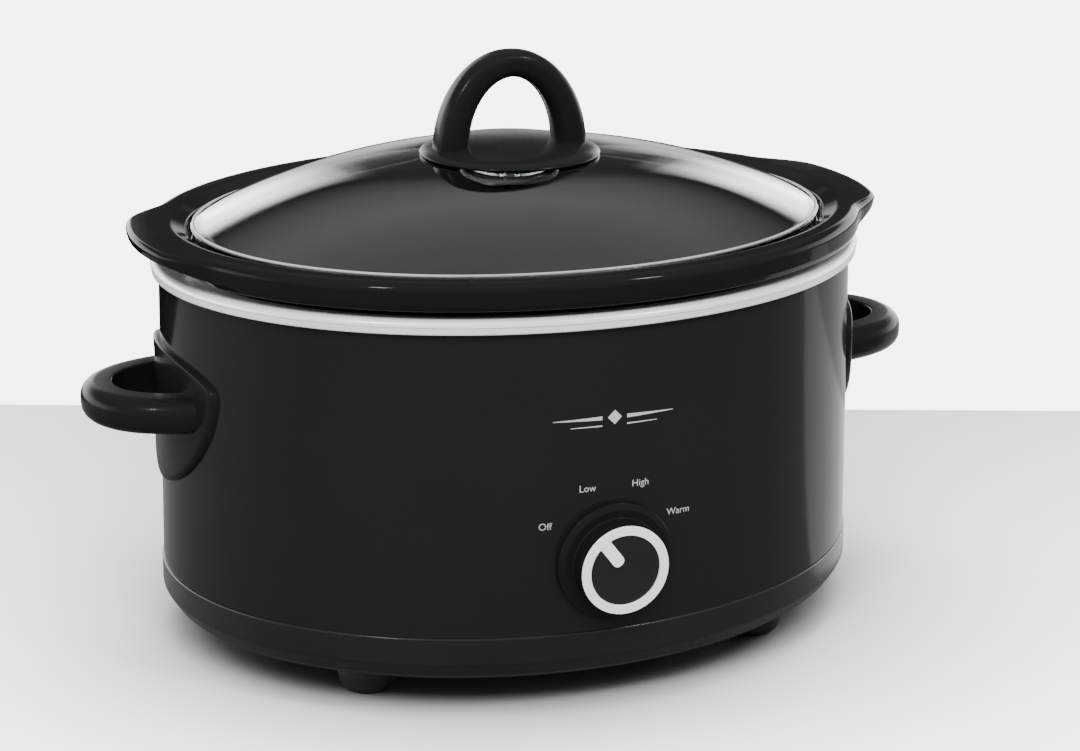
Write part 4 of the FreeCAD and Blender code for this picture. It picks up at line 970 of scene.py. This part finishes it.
def painted_highlight_bead(name, half_x, half_y, z, width, height):
    """Thin pale opaque ring on the glass, a painted highlight for the glass's bright line, the same all the
    way round.
    """
    rings = []
    for step in range(12):
        angle = 2 * math.pi * step / 12
        out = width * math.cos(angle)
        rings.append((half_x + out, half_y + out, z + height * math.sin(angle)))
    bead = draw_rings(name, rings, joined=True)
    place(bead, (0, MIDDLE_Y, 0))
    smooth(bead, 60)
    hand_over(bead, "lid", "lid_glass", PAINTED_GLASS_HIGHLIGHT)


def make_lid_highlight_beads():
    """Painted highlights: one bead along the lid's edge and one round the foot of its bowl."""
    edge_x, edge_y, edge_z = dome_rings(1.2 * MM)[0]
    painted_highlight_bead("lid_edge_highlight_bead", edge_x, edge_y, edge_z + 1.8 * MM, 0.9 * MM, 0.7 * MM)
    painted_highlight_bead("lid_bowl_highlight_bead", 23 * MM, 23 * MM, glass_high.z - 12.4 * MM, 1.0 * MM, 1.0 * MM)


def make_lid_handle():
    """Round foot disc with a half-oval loop standing on it."""
    disc_low, edge_z = glass_high.z + 0.3 * MM, glass_high.z + 1.1 * MM
    radius = handle_high.x
    boss = handle_low.z
    crown = 5.9 * MM
    corners = [
        (0.4 * MM, boss, 0), (9.5 * MM, boss, 1.5 * MM), (9.5 * MM, disc_low + 1.2 * MM, 3 * MM),
        (radius - 9 * MM, disc_low + 0.3 * MM, 3 * MM), (radius - 0.6 * MM, edge_z - 0.9 * MM, 0.4 * MM),
        (radius, edge_z, 0.3 * MM),
    ]
    rises = [math.radians(6 * step) for step in range(1, 15)]
    cap = [(radius * math.cos(rise), edge_z + crown * math.sin(rise)) for rise in rises]
    disc = turned("lid_handle_moulding", rounded(corners, 8) + cap + [(0.4 * MM, edge_z + crown)], 144)
    foot_z = edge_z + 2.1 * MM
    reach = handle_high.z - 6.5 * MM - foot_z
    section = bar_section([(-8.1 * MM, -9 * MM, 6.5 * MM), (8.1 * MM, -9 * MM, 6.5 * MM),
                           (8.1 * MM, 9 * MM, 6.5 * MM), (-8.1 * MM, 9 * MM, 6.5 * MM)])
    loop = bent_bar("loop", section, reach, 30.2 * MM, QUARTER_CIRCLE, 0.8)
    place(loop, (0, 0, foot_z), (math.radians(90), math.radians(-90), 0))
    handle = united(disc, loop)
    place(handle, (0, MIDDLE_Y, 0))
    clean(handle)
    smooth(handle, 40)
    hand_over(handle, "lid", "handle_plastic", PHENOLIC, "lid_handle")


# ---- knob and dial -----------------------------------------------------------------------------

def make_knob():
    """Knob with a thin skirt, turned about its shaft and pointed to the front."""
    back, face = -knob_high.y, -trim_high.y - 0.3 * MM
    step = back + 2.6 * MM
    ring_face = -trim_high.y
    corners = [
        (7 * MM, back + 3.2 * MM, 0), (12.5 * MM, back + 3.2 * MM, 0.3 * MM), (12.5 * MM, back, 0.3 * MM),
        (28 * MM, back, 0.6 * MM), (28 * MM, back + 1.2 * MM, 0.6 * MM), (25.2 * MM, step, 1.2 * MM),
        (KNOB_RADIUS + 0.3 * MM, step, 0.8 * MM), (KNOB_RADIUS - 0.1 * MM, ring_face, 0.3 * MM),
        (KNOB_RADIUS - 4.45 * MM, ring_face, 0.1 * MM), (KNOB_RADIUS - 4.5 * MM, face, 0.5 * MM),
        (0.4 * MM, face, 0),
    ]
    knob = turned("knob_moulding", rounded(corners, 5), 144)
    place(knob, (0, 0, KNOB_Z), (math.radians(90), 0, 0))
    smooth(knob, 40)
    hand_over(knob, "knob", "knob_plastic", PHENOLIC, "knob_body")
    points = [(KNOB_RADIUS - 4.4 * MM, face), (KNOB_RADIUS - 4.4 * MM, face + 0.25 * MM),
              (0.4 * MM, face + 0.25 * MM)]
    plate = turned("knob_face_plate", [(0.4 * MM, face), *points], 144)
    place(plate, (0, 0, KNOB_Z), (math.radians(90), 0, 0))
    smooth(plate, 40)
    hand_over(plate, "knob", "knob_plastic", KNOB_PLASTIC)


def make_knob_trim():
    """Silver face ring with the pointer bar that runs in from it."""
    back, front = -trim_high.y, -trim_low.y
    inside = KNOB_RADIUS - 4.3 * MM
    corners = [(inside, back, 0), (KNOB_RADIUS, back, 0), (KNOB_RADIUS, front, 0.35 * MM),
               (inside, front, 0.25 * MM)]
    points = [(radius, radius, z) for radius, z in rounded(corners, 4, True)]
    ring = draw_rings("knob_face_ring", points, 144, joined=True)
    start, end, half = 3.6 * MM, KNOB_RADIUS - 1.5 * MM, 2.85 * MM
    corners = [(start, -half, 2.6 * MM), (end, -half, 0), (end, half, 0), (start, half, 2.6 * MM)]
    bar = slab("pointer", corners, back, front)
    place(bar, (0, 0, 0), (0, 0, math.radians(POINTER_ANGLE)))
    ring = united(ring, bar)
    place(ring, (0, 0, KNOB_Z), (math.radians(90), 0, 0))
    smooth(ring, 40)
    hand_over(ring, "knob", "knob_silver", KNOB_SILVER, "knob_trim")


def wrap_on_front(piece, out):
    """Lays a flat printed piece, drawn in the XZ plane, on the front of the shell."""
    nearest = max(vertex.co.y for vertex in piece.data.vertices)
    for vertex in piece.data.vertices:
        stand = nearest - vertex.co.y
        vertex.co.y = wall_y(vertex.co.x, vertex.co.z, out) - stand


def make_label(text, angle):
    """One dial word on a circle round the knob."""
    ring = 37.6 * MM
    start_fresh()
    bpy.ops.object.text_add(location=(0, 0, 0))
    label = bpy.context.object
    label.name = "dial_" + text.lower()
    label.data.body = text
    label.data.size = 4.6 * MM
    label.data.align_x = "CENTER"
    label.data.align_y = "CENTER"
    label.data.extrude = 0.02 * MM
    label.data.resolution_u = 6
    bpy.ops.object.convert(target="MESH")
    label = bpy.context.object
    turn = math.radians(angle)
    place(label, (ring * math.cos(turn), 0, KNOB_Z + ring * math.sin(turn)), (math.radians(90), 0, 0))
    wrap_on_front(label, 0.03 * MM)
    hand_over(label, "base", "shell_paint", PRINT_WHITE)


def make_dial_words():
    for text, angle in (("Off", 150), ("Low", 110), ("High", 70), ("Warm", 30)):
        make_label(text, angle)


def make_ornament():
    """Plain printed ornament above the dial: a small diamond between tapering lines."""
    middle = 140.6 * MM
    thick = 0.05 * MM
    point, corner = 3.4 * MM, 0.2 * MM
    corners = [(-point, 0, corner), (0, -point, corner), (point, 0, corner), (0, point, corner)]
    pieces = [slab("front_diamond", corners, 0, thick, 2)]
    for side in (-1, 1):
        inner, outer = side * 6 * MM, side * 29 * MM
        for rise, half, reach in ((0, 0.9 * MM, outer), (-3.6 * MM, 0.35 * MM, outer * 0.72)):
            corners = [(inner, rise - half, 0), (reach, rise - 0.15 * MM, 0),
                       (reach, rise + 0.15 * MM, 0), (inner, rise + half, 0)]
            pieces.append(slab("front_line", corners if side > 0 else corners[::-1], 0, thick, 5))
    choose(*pieces)
    bpy.ops.object.join()
    ornament = bpy.context.object
    ornament.name = "front_ornament"
    place(ornament, (0, 0, middle), (math.radians(90), 0, 0))
    wrap_on_front(ornament, 0.03 * MM)
    hand_over(ornament, "base", "shell_paint", PRINT_WHITE)


make_camera()
make_world()
make_ground()
make_lights()
finish_cad_nodes()
make_shell()
make_trim_ring()
make_tray()
make_feet()
make_bushing()
make_side_handle(1, "side_handle_right")
make_side_handle(-1, "side_handle_left")
make_crock()
make_lid_glass()
make_lid_highlight_beads()
make_lid_handle()
make_knob()
make_knob_trim()
make_dial_words()
make_ornament()
